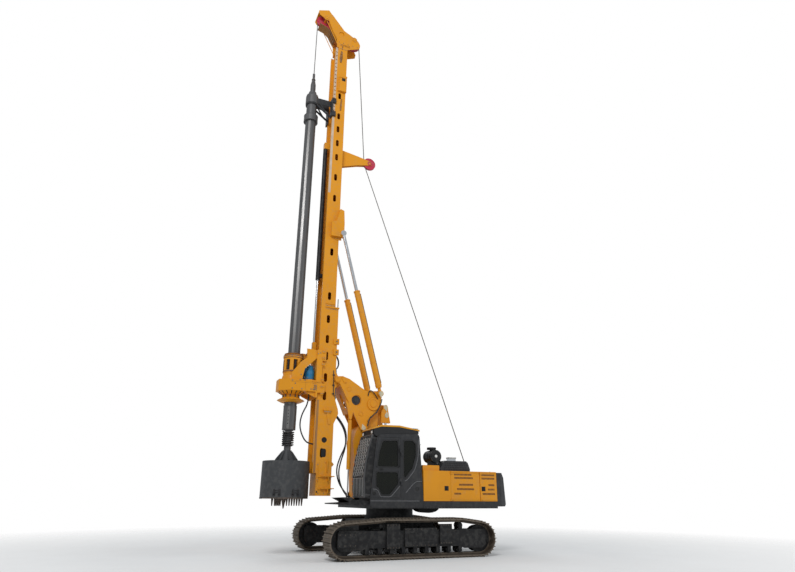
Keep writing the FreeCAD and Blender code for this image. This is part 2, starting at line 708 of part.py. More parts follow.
def counterweight():
    outline = [(FRAME_X[0] - SEAT, TAIL_BOTTOM), (TAIL_X + 60.0, TAIL_BOTTOM), (TAIL_X, TAIL_BOTTOM + 60.0),
               (TAIL_X + 70.0, TAIL_SHOULDER), (TAIL_TOP_X, HOUSING_TOP - 20.0),
               (FRAME_X[0] - SEAT, HOUSING_TOP - 20.0)]
    block = prism_y(outline, (-HOUSE_HALF_WIDTH, HOUSE_HALF_WIDTH))
    corner = [(TAIL_X - 10.0, HOUSE_HALF_WIDTH - 150.0), (TAIL_X + 250.0, HOUSE_HALF_WIDTH + 1.0),
              (TAIL_X - 10.0, HOUSE_HALF_WIDTH + 1.0)]
    for cutter in both(prism_z(corner, (TAIL_BOTTOM - 1, HOUSING_TOP + 1))):
        block = block.cut(cutter)
    return block


def housing(side):
    """Thin-walled engine or pump housing, open where its doors close it."""
    y = side_band(side, BAY_HALF_WIDTH + 20.0, HOUSE_HALF_WIDTH)
    x = (FRAME_X[0] + 5.0, HOUSING_FRONT)
    z = (FRAME_Z[1], HOUSING_TOP)
    wall = HOUSING_WALL
    shell = box(x, y, z).cut(box((x[0] + wall, x[1] - wall), (y[0] + wall, y[1] - wall),
                                 (z[0] - 1, z[1] - wall)))
    doorway = side_band(side, HOUSE_HALF_WIDTH - wall - 1, HOUSE_HALF_WIDTH + 1)
    shell = shell.cut(box((DOOR_SEAMS[-1] + 20.0, DOOR_SEAMS[0]), doorway, DOORWAY_Z))
    pillar = side_band(side, HOUSE_HALF_WIDTH - wall - 40.0, HOUSE_HALF_WIDTH - wall - SEAT)
    pieces = [shell, box((DOOR_SEAMS[1] - 40.0, DOOR_SEAMS[1] + 40.0), pillar, (z[0], z[1] - wall + 1.0))]
    if side > 0:
        pieces.append(box(RISER_X, RISER_Y, (HOUSING_TOP - 1.0, RISER_TOP)))
    for seam in DOOR_SEAMS[:2]:
        pieces += hinge_brackets(side, seam)
    return fuse(pieces)


def hinge_brackets(side, seam):
    """Pivots above and below a house door, outside its skin."""
    out = HOUSE_HALF_WIDTH + HOUSE_HINGE_OUT
    y = side_band(side, HOUSE_HALF_WIDTH - 1.0, out + HOUSE_HINGE_R)
    x = (seam - HOUSE_HINGE_R, seam + HOUSE_HINGE_R)
    top = DOORWAY_Z[1] - DOOR_GAP
    low = DOORWAY_Z[0] + DOOR_GAP
    depth = HOUSE_HINGE_HEIGHT / 2.0
    return [box(x, y, (top + SEAT, top + HOUSE_HINGE_HEIGHT)),
            cyl_z(HINGE_PIN_R, seam, side * out, (top - depth, top + 5.0)),
            box(x, y, (low - HOUSE_HINGE_HEIGHT / 2.0 - 10.0, low - SEAT)),
            cyl_z(HINGE_PIN_R, seam, side * out, (low - 5.0, low + depth))]


def house_door(side, index):
    """One engine door; it hangs at its forward edge."""
    seam = DOOR_SEAMS[index]
    x = (DOOR_SEAMS[index + 1] + DOOR_STRIP, seam - DOOR_GAP)
    y = side_band(side, HOUSE_HALF_WIDTH - HOUSING_WALL, HOUSE_HALF_WIDTH)
    z = (DOORWAY_Z[0] + DOOR_GAP, DOORWAY_Z[1] - DOOR_GAP)
    out = HOUSE_HALF_WIDTH + HOUSE_HINGE_OUT
    pieces = [box(x, y, z)]
    for low in (z[0], z[1] - HOUSE_HINGE_HEIGHT):
        height = (low, low + HOUSE_HINGE_HEIGHT)
        strap = side_band(side, HOUSE_HALF_WIDTH - 1.0, out + HOUSE_HINGE_R)
        link = side_band(side, out - HOUSE_HINGE_R + 1.0, out + HOUSE_HINGE_R - 1.0)
        pieces.append(box((seam - 70.0, seam - DOOR_GAP - 2.0), strap, height))
        pieces.append(box((seam - 20.0, seam), link, height))
        pieces.append(cyl_z(HOUSE_HINGE_R, seam, side * out, height))
    door = fuse(pieces)
    return door.cut(cyl_z(HINGE_PIN_R + PIN_FIT, seam, side * out, (z[0] - 1, z[1] + 1)))


def fluid_tank():
    y = (-HOUSE_HALF_WIDTH, -BAY_HALF_WIDTH - 20.0)
    tank = box((HOUSING_FRONT + SEAT, TANK_FRONT), y, (FRAME_Z[1], TANK_TOP))
    return tank


def engine_block():
    return box(ENGINE_X, ENGINE_Y, (FRAME_Z[1], ENGINE_TOP))


def engine_hood():
    """Perforated cover that stands on the engine housing."""
    def shell(inset):
        return [(HOOD_BASE_X[0] + inset, HOUSING_TOP), (HOOD_BASE_X[1] - inset, HOUSING_TOP),
                (HOOD_BASE_X[1] - inset, HOUSING_TOP + 80.0), (HOOD_TOP_X[1] + 60.0, HOOD_TOP - 60.0 - inset),
                (HOOD_TOP_X[1], HOOD_TOP - inset), (HOOD_TOP_X[0], HOOD_TOP - inset),
                (HOOD_TOP_X[0] - 60.0, HOOD_TOP - 50.0 - inset), (HOOD_BASE_X[0] + inset, HOUSING_TOP + 80.0)]
    hood = prism_y(shell(0.0), HOOD_Y)
    inner = prism_y(shell(HOOD_WALL), (HOOD_Y[0] + HOOD_WALL, HOOD_Y[1] - HOOD_WALL))
    return hood.cut(inner)


def exhaust_stack():
    """Square outlet on the hood, open at its top."""
    y = (HOOD_Y[0] + HOOD_Y[1]) / 2.0
    wall = STACK_WALL
    width = (y - STACK_HALF_WIDTH, y + STACK_HALF_WIDTH)
    outlet = box(STACK_X, width, (HOOD_TOP, STACK_TOP))
    return outlet.cut(box((STACK_X[0] + wall, STACK_X[1] - wall), (width[0] + wall, width[1] - wall),
                          (HOOD_TOP + wall, STACK_TOP + 1)))


def air_cleaner():
    """Filter canister on its bracket, with a mushroom cap."""
    y = (FILTER_Y[0] + FILTER_Y[1]) / 2.0
    canister = cyl_y(FILTER_R, (FILTER_X, FILTER_Z), FILTER_Y)
    neck = cyl_z(60.0, FILTER_X + 20.0, y, (FILTER_Z, FILTER_CAP_TOP - 20.0))
    cap = cyl_z(FILTER_CAP_R, FILTER_X + 20.0, y, (FILTER_CAP_TOP - 70.0, FILTER_CAP_TOP))
    bracket = box((FILTER_X - 50.0, FILTER_X + 130.0), (RISER_Y[0] + 60.0, FILTER_Y[1] - 60.0),
                  (RISER_TOP, FILTER_Z - 100.0))
    return fuse([canister, neck, cap, bracket])


def winch_drum():
    centre = (WINCH_X, WINCH_Z)
    core = cyl_y(WINCH_DRUM_R - ROPE_R, centre, (-WINCH_HALF_LENGTH, WINCH_HALF_LENGTH))
    flange = cyl_y(WINCH_FLANGE_R, centre, (WINCH_HALF_LENGTH - 30.0, WINCH_HALF_LENGTH))
    drum = fuse([core] + both(flange))
    bore = cyl_y(WINCH_AXLE_R + PIN_FIT, centre, (WINCH_HALF_LENGTH - 130.0, WINCH_HALF_LENGTH + 1))
    for hole in both(bore):
        drum = drum.cut(hole)
    return drum


# ---- cab ----
def cab_outline(inset):
    """Side view of the cab, drawn in by about inset."""
    return [(CAB_FRONT_LOW - inset, FRAME_Z[1] + inset), (CAB_PILLAR_TOP[0] - inset, CAB_PILLAR_TOP[1]),
            (CAB_ROOF_FRONT[0] - inset / 2.0, CAB_ROOF_FRONT[1] - inset),
            (CAB_ROOF_REAR[0] + inset / 2.0, CAB_ROOF_REAR[1] - inset),
            (CAB_REAR_TOP[0] + inset, CAB_REAR_TOP[1]), (CAB_REAR_LOW + inset, FRAME_Z[1] + inset)]


def cab_front_x(z):
    """Where the leaning windscreen side stands at a height."""
    lean = (CAB_FRONT_LOW - CAB_PILLAR_TOP[0]) / (CAB_PILLAR_TOP[1] - FRAME_Z[1])
    return CAB_FRONT_LOW - lean * (z - FRAME_Z[1])


def upper_pane():
    return [(DOOR_X[0] + 70.0, 2450.0), (1060.0, 2450.0), (990.0, 2900.0), (880.0, 3240.0),
            (DOOR_X[0] + 80.0, 3270.0)]


def lower_pane():
    return [(DOOR_X[0] + 70.0, 2350.0), (1080.0, 2345.0), (1080.0, 1880.0), (1010.0, 1860.0),
            (890.0, 1665.0), (610.0, 1665.0), (DOOR_X[0] + 70.0, 1965.0)]


def rear_pane():
    return [(190.0, 3270.0), (-130.0, 3285.0), (-260.0, 3170.0), (-260.0, 2810.0), (-140.0, 2430.0),
            (120.0, 2130.0), (190.0, 2190.0)]


def door_outline(inset):
    slant = (CAB_FRONT_LOW - CAB_PILLAR_TOP[0]) * (DOOR_TOP - DOOR_BOTTOM)
    slant /= CAB_PILLAR_TOP[1] - FRAME_Z[1]
    return [(DOOR_X[0] + inset, DOOR_BOTTOM + inset), (DOOR_X[1] - inset, DOOR_BOTTOM + inset),
            (DOOR_X[1] - slant - inset, DOOR_TOP - inset), (DOOR_X[0] + inset, DOOR_TOP - inset)]


def cab_shell():
    inside = (CAB_Y[0] + CAB_WALL, CAB_Y[1] - CAB_WALL)
    shell = prism_y(cab_outline(0.0), CAB_Y).cut(prism_y(cab_outline(CAB_WALL), inside))
    left = (CAB_Y[1] - CAB_WALL - 1, CAB_Y[1] + 1)
    right = (CAB_Y[0] - 1, CAB_Y[0] + CAB_WALL + 1)
    shell = shell.cut(prism_y(door_outline(0.0), left))
    for side in (left, right):
        shell = shell.cut(prism_y(rear_pane(), side))
    shell = shell.cut(prism_y(upper_pane(), right))
    across = (inside[0] + 40.0, inside[1] - 40.0)
    shell = shell.cut(box((CAB_PILLAR_TOP[0] - 200.0, CAB_FRONT_LOW + 1), across, (1700.0, 3230.0)))
    shell = shell.cut(box((CAB_REAR_LOW - 1, CAB_REAR_TOP[0] + CAB_WALL + 20.0), across, (2450.0, 3200.0)))
    hinge_x = DOOR_X[0] - 4.0
    out = CAB_Y[1] + DOOR_HINGE_OUT
    pieces = [shell]
    for z in DOOR_HINGE_Z:
        plate = box((hinge_x - 60.0, hinge_x), (CAB_Y[1] - 2.0, out), (z - DOOR_HINGE_HEIGHT, z - SEAT))
        boss = cyl_z(DOOR_HINGE_R, hinge_x, out, (z - DOOR_HINGE_HEIGHT, z - SEAT))
        pieces += [plate, boss, cyl_z(HINGE_PIN_R, hinge_x, out, (z - 20.0, z + DOOR_HINGE_HEIGHT - 10.0))]
    return fuse(pieces)


def cab_door():
    """Door with two windows, on two hinge knuckles outside the skin."""
    skin = (CAB_Y[1] - CAB_WALL, CAB_Y[1])
    door = prism_y(door_outline(DOOR_GAP), skin)
    for pane in (upper_pane(), lower_pane()):
        door = door.cut(prism_y(pane, (skin[0] - 1, skin[1] + 1)))
    hinge_x = DOOR_X[0] - 4.0
    out = CAB_Y[1] + DOOR_HINGE_OUT
    for z in DOOR_HINGE_Z:
        height = (z, z + DOOR_HINGE_HEIGHT)
        strap = box((hinge_x + 12.0, DOOR_X[0] + 60.0), (CAB_Y[1] - 2.0, out + 5.0), height)
        link = box((hinge_x, hinge_x + 20.0), (out - 5.0, out + 5.0), height)
        door = fuse([door, strap, link, cyl_z(DOOR_HINGE_R, hinge_x, out, height)])
        door = door.cut(cyl_z(HINGE_PIN_R + PIN_FIT, hinge_x, out, (z - 1, z + DOOR_HINGE_HEIGHT + 1)))
    return door


def cab_door_glass():
    middle = CAB_Y[1] - CAB_WALL / 2.0
    band = (middle - GLASS / 2.0, middle + GLASS / 2.0)
    return Part.makeCompound([prism_y(pane, band) for pane in (upper_pane(), lower_pane())])


def cab_glass():
    """Fixed panes: windscreen, both rear side windows, right window and rear window."""
    panes = []
    for middle in (CAB_Y[0] + CAB_WALL / 2.0, CAB_Y[1] - CAB_WALL / 2.0):
        panes.append(prism_y(rear_pane(), (middle - GLASS / 2.0, middle + GLASS / 2.0)))
    middle = CAB_Y[0] + CAB_WALL / 2.0
    panes.append(prism_y(upper_pane(), (middle - GLASS / 2.0, middle + GLASS / 2.0)))
    across = (CAB_Y[0] + CAB_WALL + 40.0, CAB_Y[1] - CAB_WALL - 40.0)
    low = cab_front_x(1700.0) - 30.0
    high = cab_front_x(3230.0) - 30.0
    screen = [(low, 1700.0), (high, 3230.0), (high + GLASS, 3230.0), (low + GLASS, 1700.0)]
    panes.append(prism_y(screen, across))
    rear = CAB_REAR_LOW + 45.0
    panes.append(prism_y([(rear + 60.0, 2450.0), (rear + 60.0 + GLASS, 2450.0),
                          (rear + 95.0 + GLASS, 3200.0), (rear + 95.0, 3200.0)], across))
    return Part.makeCompound(panes)


def operator_seat():
    """Seat on its plinth, with a console each side."""
    y = (CAB_Y[0] + CAB_Y[1]) / 2.0
    floor = FRAME_Z[1] + CAB_WALL
    plinth = box((-200.0, 320.0), (y - 230.0, y + 230.0), (floor, floor + 350.0))
    cushion = box((-150.0, 400.0), (y - 260.0, y + 260.0), (floor + 340.0, floor + 480.0))
    back = prism_y([(-150.0, floor + 470.0), (-20.0, floor + 470.0), (-130.0, floor + 1150.0),
                    (-240.0, floor + 1150.0)], (y - 240.0, y + 240.0))
    consoles = [box((0.0, 480.0), (y + offset, y + offset + 110.0), (floor + 300.0, floor + 640.0))
                for offset in (-365.0, 255.0)]
    return fuse([plinth, cushion, back] + consoles)


def cab_front_guard():
    """Bar grille ahead of the windscreen, curved back at its top."""
    low = FRAME_Z[1] + 100.0
    front = CAB_FRONT_LOW + GUARD_REACH
    curve = [(front, low), (front + 30.0, 2150.0), (front - 15.0, 2600.0), (front - 100.0, 3000.0),
             (front - 215.0, 3390.0)]
    edge = [(x - 25.0, z) for x, z in curve] + [(x + 25.0, z) for x, z in reversed(curve)]
    pieces = []
    for y in ((CAB_Y[0] + 5.0, CAB_Y[0] + 45.0), (CAB_Y[1] - 45.0, CAB_Y[1] - 5.0)):
        pieces.append(prism_y(edge, y))
    bars = 12
    span = CAB_Y[1] - CAB_Y[0] - 90.0
    for index in range(bars):
        y = CAB_Y[0] + 45.0 + span * (index + 0.5) / bars
        for start, end in zip(curve, curve[1:]):
            pieces.append(bar(start, toward(start, end, reach(start, end) + 4.0), GUARD_BAR_R, y))
    for x, z in curve:
        pieces.append(box((x - 18.0, x + 16.0), (CAB_Y[0] + 10.0, CAB_Y[1] - 10.0), (z - 16.0, z + 16.0)))
    for y in (CAB_Y[0] + 25.0, CAB_Y[1] - 25.0):
        for z, end in ((low + 60.0, front - 10.0), (3290.0, front - 190.0)):
            start = cab_front_x(z - GUARD_ARM_R) + SEAT
            pieces.append(cyl_x(GUARD_ARM_R, y, z, (start, end)))
    return fuse(pieces)


def cab_roof_guard():
    """Falling-object guard: a shallow tray of plate on four stubs."""
    outline = [(ROOF_GUARD_X[0], 3560.0), (ROOF_GUARD_X[0] + 20.0, 3600.0), (300.0, 3700.0), (900.0, 3690.0),
               (ROOF_GUARD_X[1], 3600.0), (ROOF_GUARD_X[1], 3560.0), (900.0, 3640.0), (300.0, 3650.0)]
    pieces = [prism_y(outline, (CAB_Y[0] + 10.0, CAB_Y[1] - 10.0))]
    slope = (CAB_ROOF_FRONT[1] - CAB_ROOF_REAR[1]) / (CAB_ROOF_FRONT[0] - CAB_ROOF_REAR[0])
    for x, top in ((-250.0, 3600.0), (800.0, 3655.0)):
        roof = CAB_ROOF_REAR[1] + (x - GUARD_STUB_R - CAB_ROOF_REAR[0]) * slope
        for y in (CAB_Y[0] + 80.0, CAB_Y[1] - 80.0):
            pieces.append(cyl_z(GUARD_STUB_R, x, y, (roof + SEAT, top)))
    return fuse(pieces)


# ---- boom linkage ----
def link_bore(shape, centre, radius):
    return shape.cut(cyl_y(radius + PIN_FIT, centre, (-LINK_HALF_WIDTH - 1, LINK_HALF_WIDTH + 1)))


def support_arm():
    """Front link, from the deck to the triangle frame's lower pin."""
    x, z = SUPPORT_FOOT
    head_x, head_z = SUPPORT_HEAD
    outline = [(x - 95.0, z - 60.0), (x + 95.0, z - 60.0), (x + 130.0, z + 700.0), (x + 250.0, head_z - 420.0),
               (x + 180.0, head_z - 150.0), (head_x + 95.0, head_z + 70.0), (head_x - 80.0, head_z + 90.0),
               (head_x - 95.0, head_z - 100.0), (x - 150.0, head_z - 500.0), (x - 150.0, z + 700.0)]
    arm = prism_y(outline, (-LINK_HALF_WIDTH, LINK_HALF_WIDTH))
    arm = link_bore(arm, SUPPORT_FOOT, PIN_R)
    return link_bore(arm, SUPPORT_HEAD, PIN_R)


def boom():
    """Rear link, a welded box between the foot plates and the big pivot."""
    x, z = BOOM_FOOT
    head_x, head_z = BOOM_HEAD
    outline = [(x - 110.0, z - 90.0), (x + 80.0, z - 90.0), (x + 80.0, head_z - 900.0),
               (head_x + 150.0, head_z + 60.0), (head_x + 60.0, head_z + 150.0), (head_x - 60.0, head_z + 150.0),
               (head_x - 160.0, head_z + 40.0), (head_x - 230.0, head_z - 300.0),
               (head_x - 200.0, head_z - 850.0), (x - 130.0, z + 400.0)]
    eye_x, eye_z = LUFF_EYE
    ear = prism_y([(head_x - 150.0, head_z + 40.0), (eye_x - 40.0, eye_z + 85.0), (eye_x - 85.0, eye_z + 40.0),
                   (eye_x - 85.0, eye_z - 60.0), (eye_x - 20.0, eye_z - 100.0), (head_x - 200.0, head_z - 420.0)],
                  LUFF_EAR_Y)
    link = fuse([prism_y(outline, (-LINK_HALF_WIDTH, LINK_HALF_WIDTH))] + both(ear))
    link = link_bore(link, BOOM_FOOT, PIN_R)
    return link_bore(link, BOOM_HEAD, BOOM_PIN_R)


def triangle_frame():
    """Two plates that carry the mast's pivot, joined by webs and pins."""
    outline = [(SUPPORT_HEAD[0] + 80.0, SUPPORT_HEAD[1] - 60.0), (1960.0, 5060.0),
               (MAST_PIVOT[0] + 60.0, MAST_PIVOT[1] - 90.0), (MAST_PIVOT[0] + 60.0, MAST_PIVOT[1] + 100.0),
               (1870.0, 5300.0), (1640.0, 5230.0), (1060.0, 4880.0), (TILT_FOOT[0] + 110.0, 4900.0),
               (TILT_FOOT[0] + 60.0, TILT_FOOT[1] + 100.0), (TILT_FOOT[0] - 60.0, TILT_FOOT[1] + 100.0),
               (TILT_FOOT[0] - 100.0, TILT_FOOT[1]), (BOOM_HEAD[0] - 240.0, BOOM_HEAD[1] - 40.0),
               (BOOM_HEAD[0] - 180.0, BOOM_HEAD[1] - 200.0),
               (940.0, 3950.0), (SUPPORT_HEAD[0] - 120.0, SUPPORT_HEAD[1] - 40.0)]
    plate = prism_y(outline, (PLATE_IN, PLATE_OUT))
    plate = plate.cut(cyl_y(165.0, (1380.0, 4560.0), (PLATE_IN - 1, PLATE_OUT + 1)))
    boss = cyl_y(200.0, BOOM_HEAD, (PLATE_IN, PLATE_OUT + 30.0))
    foot_pin = cyl_y(TILT_PIN_R, TILT_FOOT, (PLATE_IN, TILT_Y + TILT_EYE_HALF + 12.0))
    mast_pin = cyl_y(MAST_PIN_R, MAST_PIVOT, (MAST_HALF_WIDTH - 80.0, PLATE_OUT + 20.0))
    side = fuse([plate, boss, foot_pin, mast_pin])
    pieces = both(side)
    x, z = STRUT_HEAD
    pieces.append(prism_y([(x - STRUT_EYE_R, z), (x + STRUT_EYE_R, z), (x + 180.0, 4560.0), (x - 100.0, 4260.0)],
                          (PLATE_IN, PLATE_OUT)))
    pieces.append(cyl_y(STRUT_EYE_R, STRUT_HEAD, (PLATE_IN, PLATE_OUT)))
    pieces.append(cyl_y(STRUT_PIN_R, STRUT_HEAD, (STRUT_EYE_Y[0], PLATE_OUT)))
    pieces.append(cyl_y(PIN_R, SUPPORT_HEAD, (-PLATE_IN - 1, PLATE_IN + 1)))
    pieces.append(cyl_y(BOOM_PIN_R, BOOM_HEAD, (-PLATE_IN - 1, PLATE_IN + 1)))
    web = [(SUPPORT_HEAD[0] + 420.0, 4160.0), (1900.0, 4990.0), (1860.0, 5020.0),
           (SUPPORT_HEAD[0] + 375.0, 4190.0)]
    deep = (SUPPORT_HEAD[0], MAST_PIVOT[0])
    oval = [box(deep, (-110.0, 110.0), (4400.0, 4680.0)), cyl_x(110.0, 0, 4400.0, deep), cyl_x(110.0, 0, 4680.0, deep)]
    pieces.append(prism_y(web, (-PLATE_IN - 1, PLATE_IN + 1)).cut(fuse(oval)))
    return fuse(pieces)


def cylinder_eye(centre, radius, bore, y):
    return cyl_y(radius, centre, y).cut(cyl_y(bore + PIN_FIT, centre, (y[0] - 1, y[1] + 1)))


def luff_barrels():
    """Both luffing cylinders' tubes, each with its foot eye."""
    start = toward(LUFF_FOOT, LUFF_EYE, 30.0)
    tube = bar(start, toward(LUFF_FOOT, LUFF_EYE, LUFF_TUBE_LENGTH), LUFF_TUBE_R, LUFF_Y)
    hollow = bar(toward(LUFF_FOOT, LUFF_EYE, 150.0), LUFF_EYE, LUFF_ROD_R + 1.0, LUFF_Y)
    eye = cyl_y(80.0, LUFF_FOOT, (LUFF_Y - LUFF_TUBE_R + 10.0, LUFF_Y + LUFF_TUBE_R - 10.0))
    barrel = fuse([tube, eye]).cut(hollow)
    barrel = barrel.cut(cyl_y(LUFF_PIN_R + PIN_FIT, LUFF_FOOT, (LUFF_Y - 100.0, LUFF_Y + 100.0)))
    return Part.makeCompound(both(barrel))


def luff_rods():
    """Both luffing rods, up to their head blocks."""
    end = toward(LUFF_EYE, LUFF_FOOT, LUFF_ROD_SEAT)
    return Part.makeCompound(both(bar(toward(LUFF_FOOT, LUFF_EYE, 900.0), end, LUFF_ROD_R, LUFF_Y)))


def luff_heads():
    """Head blocks of the luffing rods, each with the stub that turns in the boom's ear."""
    x, z = LUFF_EYE
    block = prism_y([(x - 90.0, z - 90.0), (x - 170.0, z - 500.0), (x + 150.0, z - 500.0), (x + 150.0, z - 160.0),
                     (x + 90.0, z - 60.0), (x + 70.0, z + 40.0), (x + 20.0, z + 80.0), (x - 40.0, z + 80.0),
                     (x - 80.0, z + 20.0)],
                    (LUFF_Y - 65.0, PLATE_IN - RUN))
    stub = cyl_y(LUFF_PIN_R, LUFF_EYE, (LUFF_EAR_Y[1] + SEAT, LUFF_Y))
    seat = bar(LUFF_FOOT, toward(LUFF_EYE, LUFF_FOOT, LUFF_ROD_SEAT), LUFF_ROD_R + PIN_FIT, LUFF_Y)
    return Part.makeCompound(both(fuse([block, stub]).cut(seat)))


def tilt_barrels():
    """Both mast cylinders' tubes."""
    start = toward(TILT_FOOT, TILT_EYE, TILT_TUBE_START)
    tube = bar(start, toward(TILT_FOOT, TILT_EYE, TILT_TUBE_TOP), TILT_TUBE_R, TILT_Y)
    hollow = bar(toward(TILT_FOOT, TILT_EYE, TILT_TUBE_START + 50.0), TILT_EYE, TILT_ROD_R + 1.0, TILT_Y)
    neck = bar(TILT_FOOT, toward(TILT_FOOT, TILT_EYE, TILT_TUBE_START + 10.0), TILT_EYE_HALF - 5.0, TILT_Y)
    eye = cyl_y(95.0, TILT_FOOT, (TILT_Y - TILT_EYE_HALF, TILT_Y + TILT_EYE_HALF))
    barrel = fuse([tube, neck, eye]).cut(hollow)
    barrel = barrel.cut(cyl_y(TILT_PIN_R + PIN_FIT, TILT_FOOT, (PLATE_OUT, PLATE_OUT + 200.0)))
    return Part.makeCompound(both(barrel))


def tilt_rods():
    """Both mast cylinders' rods; each eye lies against its lug on the mast."""
    inside = reach(TILT_FOOT, TILT_EYE) - TILT_ROD_LENGTH
    rod = bar(toward(TILT_FOOT, TILT_EYE, inside), TILT_EYE, TILT_ROD_R, TILT_Y)
    eye = cyl_y(TILT_EYE_R, TILT_EYE, (TILT_Y - TILT_EYE_HALF, TILT_Y + TILT_EYE_HALF))
    return Part.makeCompound(both(fuse([rod, eye])))


def strut_barrel():
    """Slim cylinder's tube, hung from the triangle frame."""
    low = toward(STRUT_HEAD, STRUT_FOOT, STRUT_TUBE_LENGTH)
    tube = bar(toward(STRUT_HEAD, STRUT_FOOT, 65.0), low, STRUT_TUBE_R, STRUT_Y)
    hollow = bar(toward(STRUT_HEAD, STRUT_FOOT, 200.0), STRUT_FOOT, STRUT_ROD_R + 1.0, STRUT_Y)
    x, z = STRUT_HEAD
    neck = box((x - STRUT_EYE_R + 5.0, x + STRUT_EYE_R - 5.0), STRUT_EYE_Y, (z - 150.0, z))
    eye = cyl_y(STRUT_EYE_R, STRUT_HEAD, STRUT_EYE_Y)
    pin = cyl_y(STRUT_PIN_R + PIN_FIT, STRUT_HEAD, (STRUT_EYE_Y[0] - 1, STRUT_EYE_Y[1] + 1))
    return fuse([tube, neck, eye]).cut(hollow).cut(pin)


def strut_rod():
    rod = bar(toward(STRUT_HEAD, STRUT_FOOT, 700.0), STRUT_FOOT, STRUT_ROD_R, STRUT_Y)
    eye = cyl_y(STRUT_EYE_R, STRUT_FOOT, (STRUT_Y - STRUT_EYE_HALF, STRUT_Y + STRUT_EYE_HALF))
    return fuse([rod, eye])


# ---- mast ----
def mast_box(rear, z, slots):
    """A length of the mast: hollow box, side slots and the carriage's rails."""
    half = MAST_HALF_WIDTH
    wall = MAST_WALL
    shell = box((rear, MAST_FRONT), (-half, half), z)
    shell = shell.cut(box((rear + wall, MAST_FRONT - wall), (-half + wall, half - wall),
                          (z[0] + wall, z[1] - wall)))
    rail_z = (max(z[0], RAIL_BOTTOM), min(z[1], MAST_TOP - 150.0))
    rail = box((MAST_FRONT, RAIL_X), (RAIL_INNER, half), rail_z)
    shell = fuse([shell] + both(rail))
    for slot in slots:
        shell = shell.cut(slot_y((SLOT_X, slot), SLOT_SIZE[0], SLOT_SIZE[1], (-half - 1, half + 1)))
    return shell


def mast_lower():
    """Lower mast with the rear pivot lugs and the bottom flanges."""
    half = MAST_HALF_WIDTH
    rear = MAST_LOWER_REAR
    body = mast_box(rear, (MAST_BOTTOM, MAST_JOINT), SLOTS_LOWER)
    lug = prism_y([(rear + 2.0, 4900.0), (rear + 2.0, 5450.0), (MAST_PIVOT[0] - 40.0, MAST_PIVOT[1] + 130.0),
                   (MAST_PIVOT[0] - 130.0, MAST_PIVOT[1]), (MAST_PIVOT[0] - 60.0, MAST_PIVOT[1] - 130.0)],
                  (half - 70.0, half))
    lug = lug.cut(cyl_y(MAST_PIN_R + PIN_FIT, MAST_PIVOT, (half - 100.0, half + 10.0)))
    stop = prism_y([(rear + 2.0, 3780.0), (rear + 2.0, 4600.0), (1960.0, 4240.0), (1940.0, 4100.0)],
                   (half - 60.0, half))
    flanges = [box((rear - 20.0, MAST_FRONT - 60.0), (half - 2.0, half + 30.0), (z, z + 40.0))
               for z in (1830.0, 2180.0)]
    pieces = [body] + both(lug) + both(stop)
    for flange in flanges:
        pieces += both(flange)
    pieces.append(hose_block([(rear + 2.0, 4080.0), (rear - 50.0, 4080.0), (rear - 120.0, 4150.0),
                              (rear - 120.0, 4230.0), (rear + 2.0, 4230.0)], MAST_GLAND_ROOT,
                             MAST_HOSE_END))
    x, z = DRIVE_HOSE[-1]
    pieces.append(bar((MAST_FRONT - 5.0, z), (x, z), GLAND_R, DRIVE_HOSE_Y))
    body = fuse(pieces).cut(cyl_y(ROUND_HOLE_R, ROUND_HOLE, (-half - 1, half + 1)))
    return body.cut(cyl_y(MAST_PIN_R + PIN_FIT, MAST_PIVOT, (-half - 10.0, half + 10.0)))


def mast_upper():
    """Upper mast with the cylinder lugs and the deflector bracket."""
    half = MAST_HALF_WIDTH
    body = mast_box(MAST_REAR, (MAST_JOINT, MAST_TOP), SLOTS_UPPER)
    lug_face = TILT_Y - TILT_EYE_HALF - SEAT
    lug_low = TILT_EYE[1] - 110.0
    lug = prism_y([(2030.0, lug_low), (2500.0, lug_low), (2500.0, 10800.0), (2330.0, 10850.0), (2200.0, 11350.0),
                   (2060.0, 11300.0), (2030.0, 10800.0)], (half - 2.0, lug_face))
    bracket = prism_y([(MAST_REAR + 2.0, 13360.0), (MAST_REAR + 2.0, 14110.0), (1500.0, 14000.0),
                       (DEFLECTOR[0] - 60.0, DEFLECTOR[1] + 90.0), (DEFLECTOR[0] - 90.0, DEFLECTOR[1] - 60.0),
                       (1500.0, 13600.0)], (SHEAVE_HALF + RUN, SHEAVE_HALF + RUN + 25.0))
    pin = cyl_y(SHEAVE_PIN_R, DEFLECTOR, (-SHEAVE_HALF - RUN - 1, SHEAVE_HALF + RUN + 1))
    crowd_lug = box((MAST_FRONT - 2.0, CROWD_X + 60.0), (-90.0, 90.0), (CROWD_TUBE_Z[1], CROWD_TUBE_Z[1] + 260.0))
    ledge = box((MAST_LOWER_REAR - 20.0, CHEEK_REAR - RUN), (-half - 30.0, half + 30.0),
                (MAST_JOINT, MAST_JOINT + 40.0))
    ledge = ledge.cut(box((MAST_REAR + 5.0, MAST_FRONT + 1.0), (-half + 5.0, half - 5.0),
                          (MAST_JOINT - 1, MAST_JOINT + 50.0)))
    pad = box(SIDE_BOX_X, (half - 2.0, half + SIDE_BOX_THICK), SIDE_BOX_Z)
    middle = ((SIDE_BOX_X[0] + SIDE_BOX_X[1]) / 2.0, (SIDE_BOX_Z[0] + SIDE_BOX_Z[1]) / 2.0)
    pad = pad.cut(cyl_y(70.0, middle, (half + 1.0, half + SIDE_BOX_THICK + 1)))
    return fuse([body, pin, crowd_lug, ledge] + both(lug) + both(bracket) + both(pad))


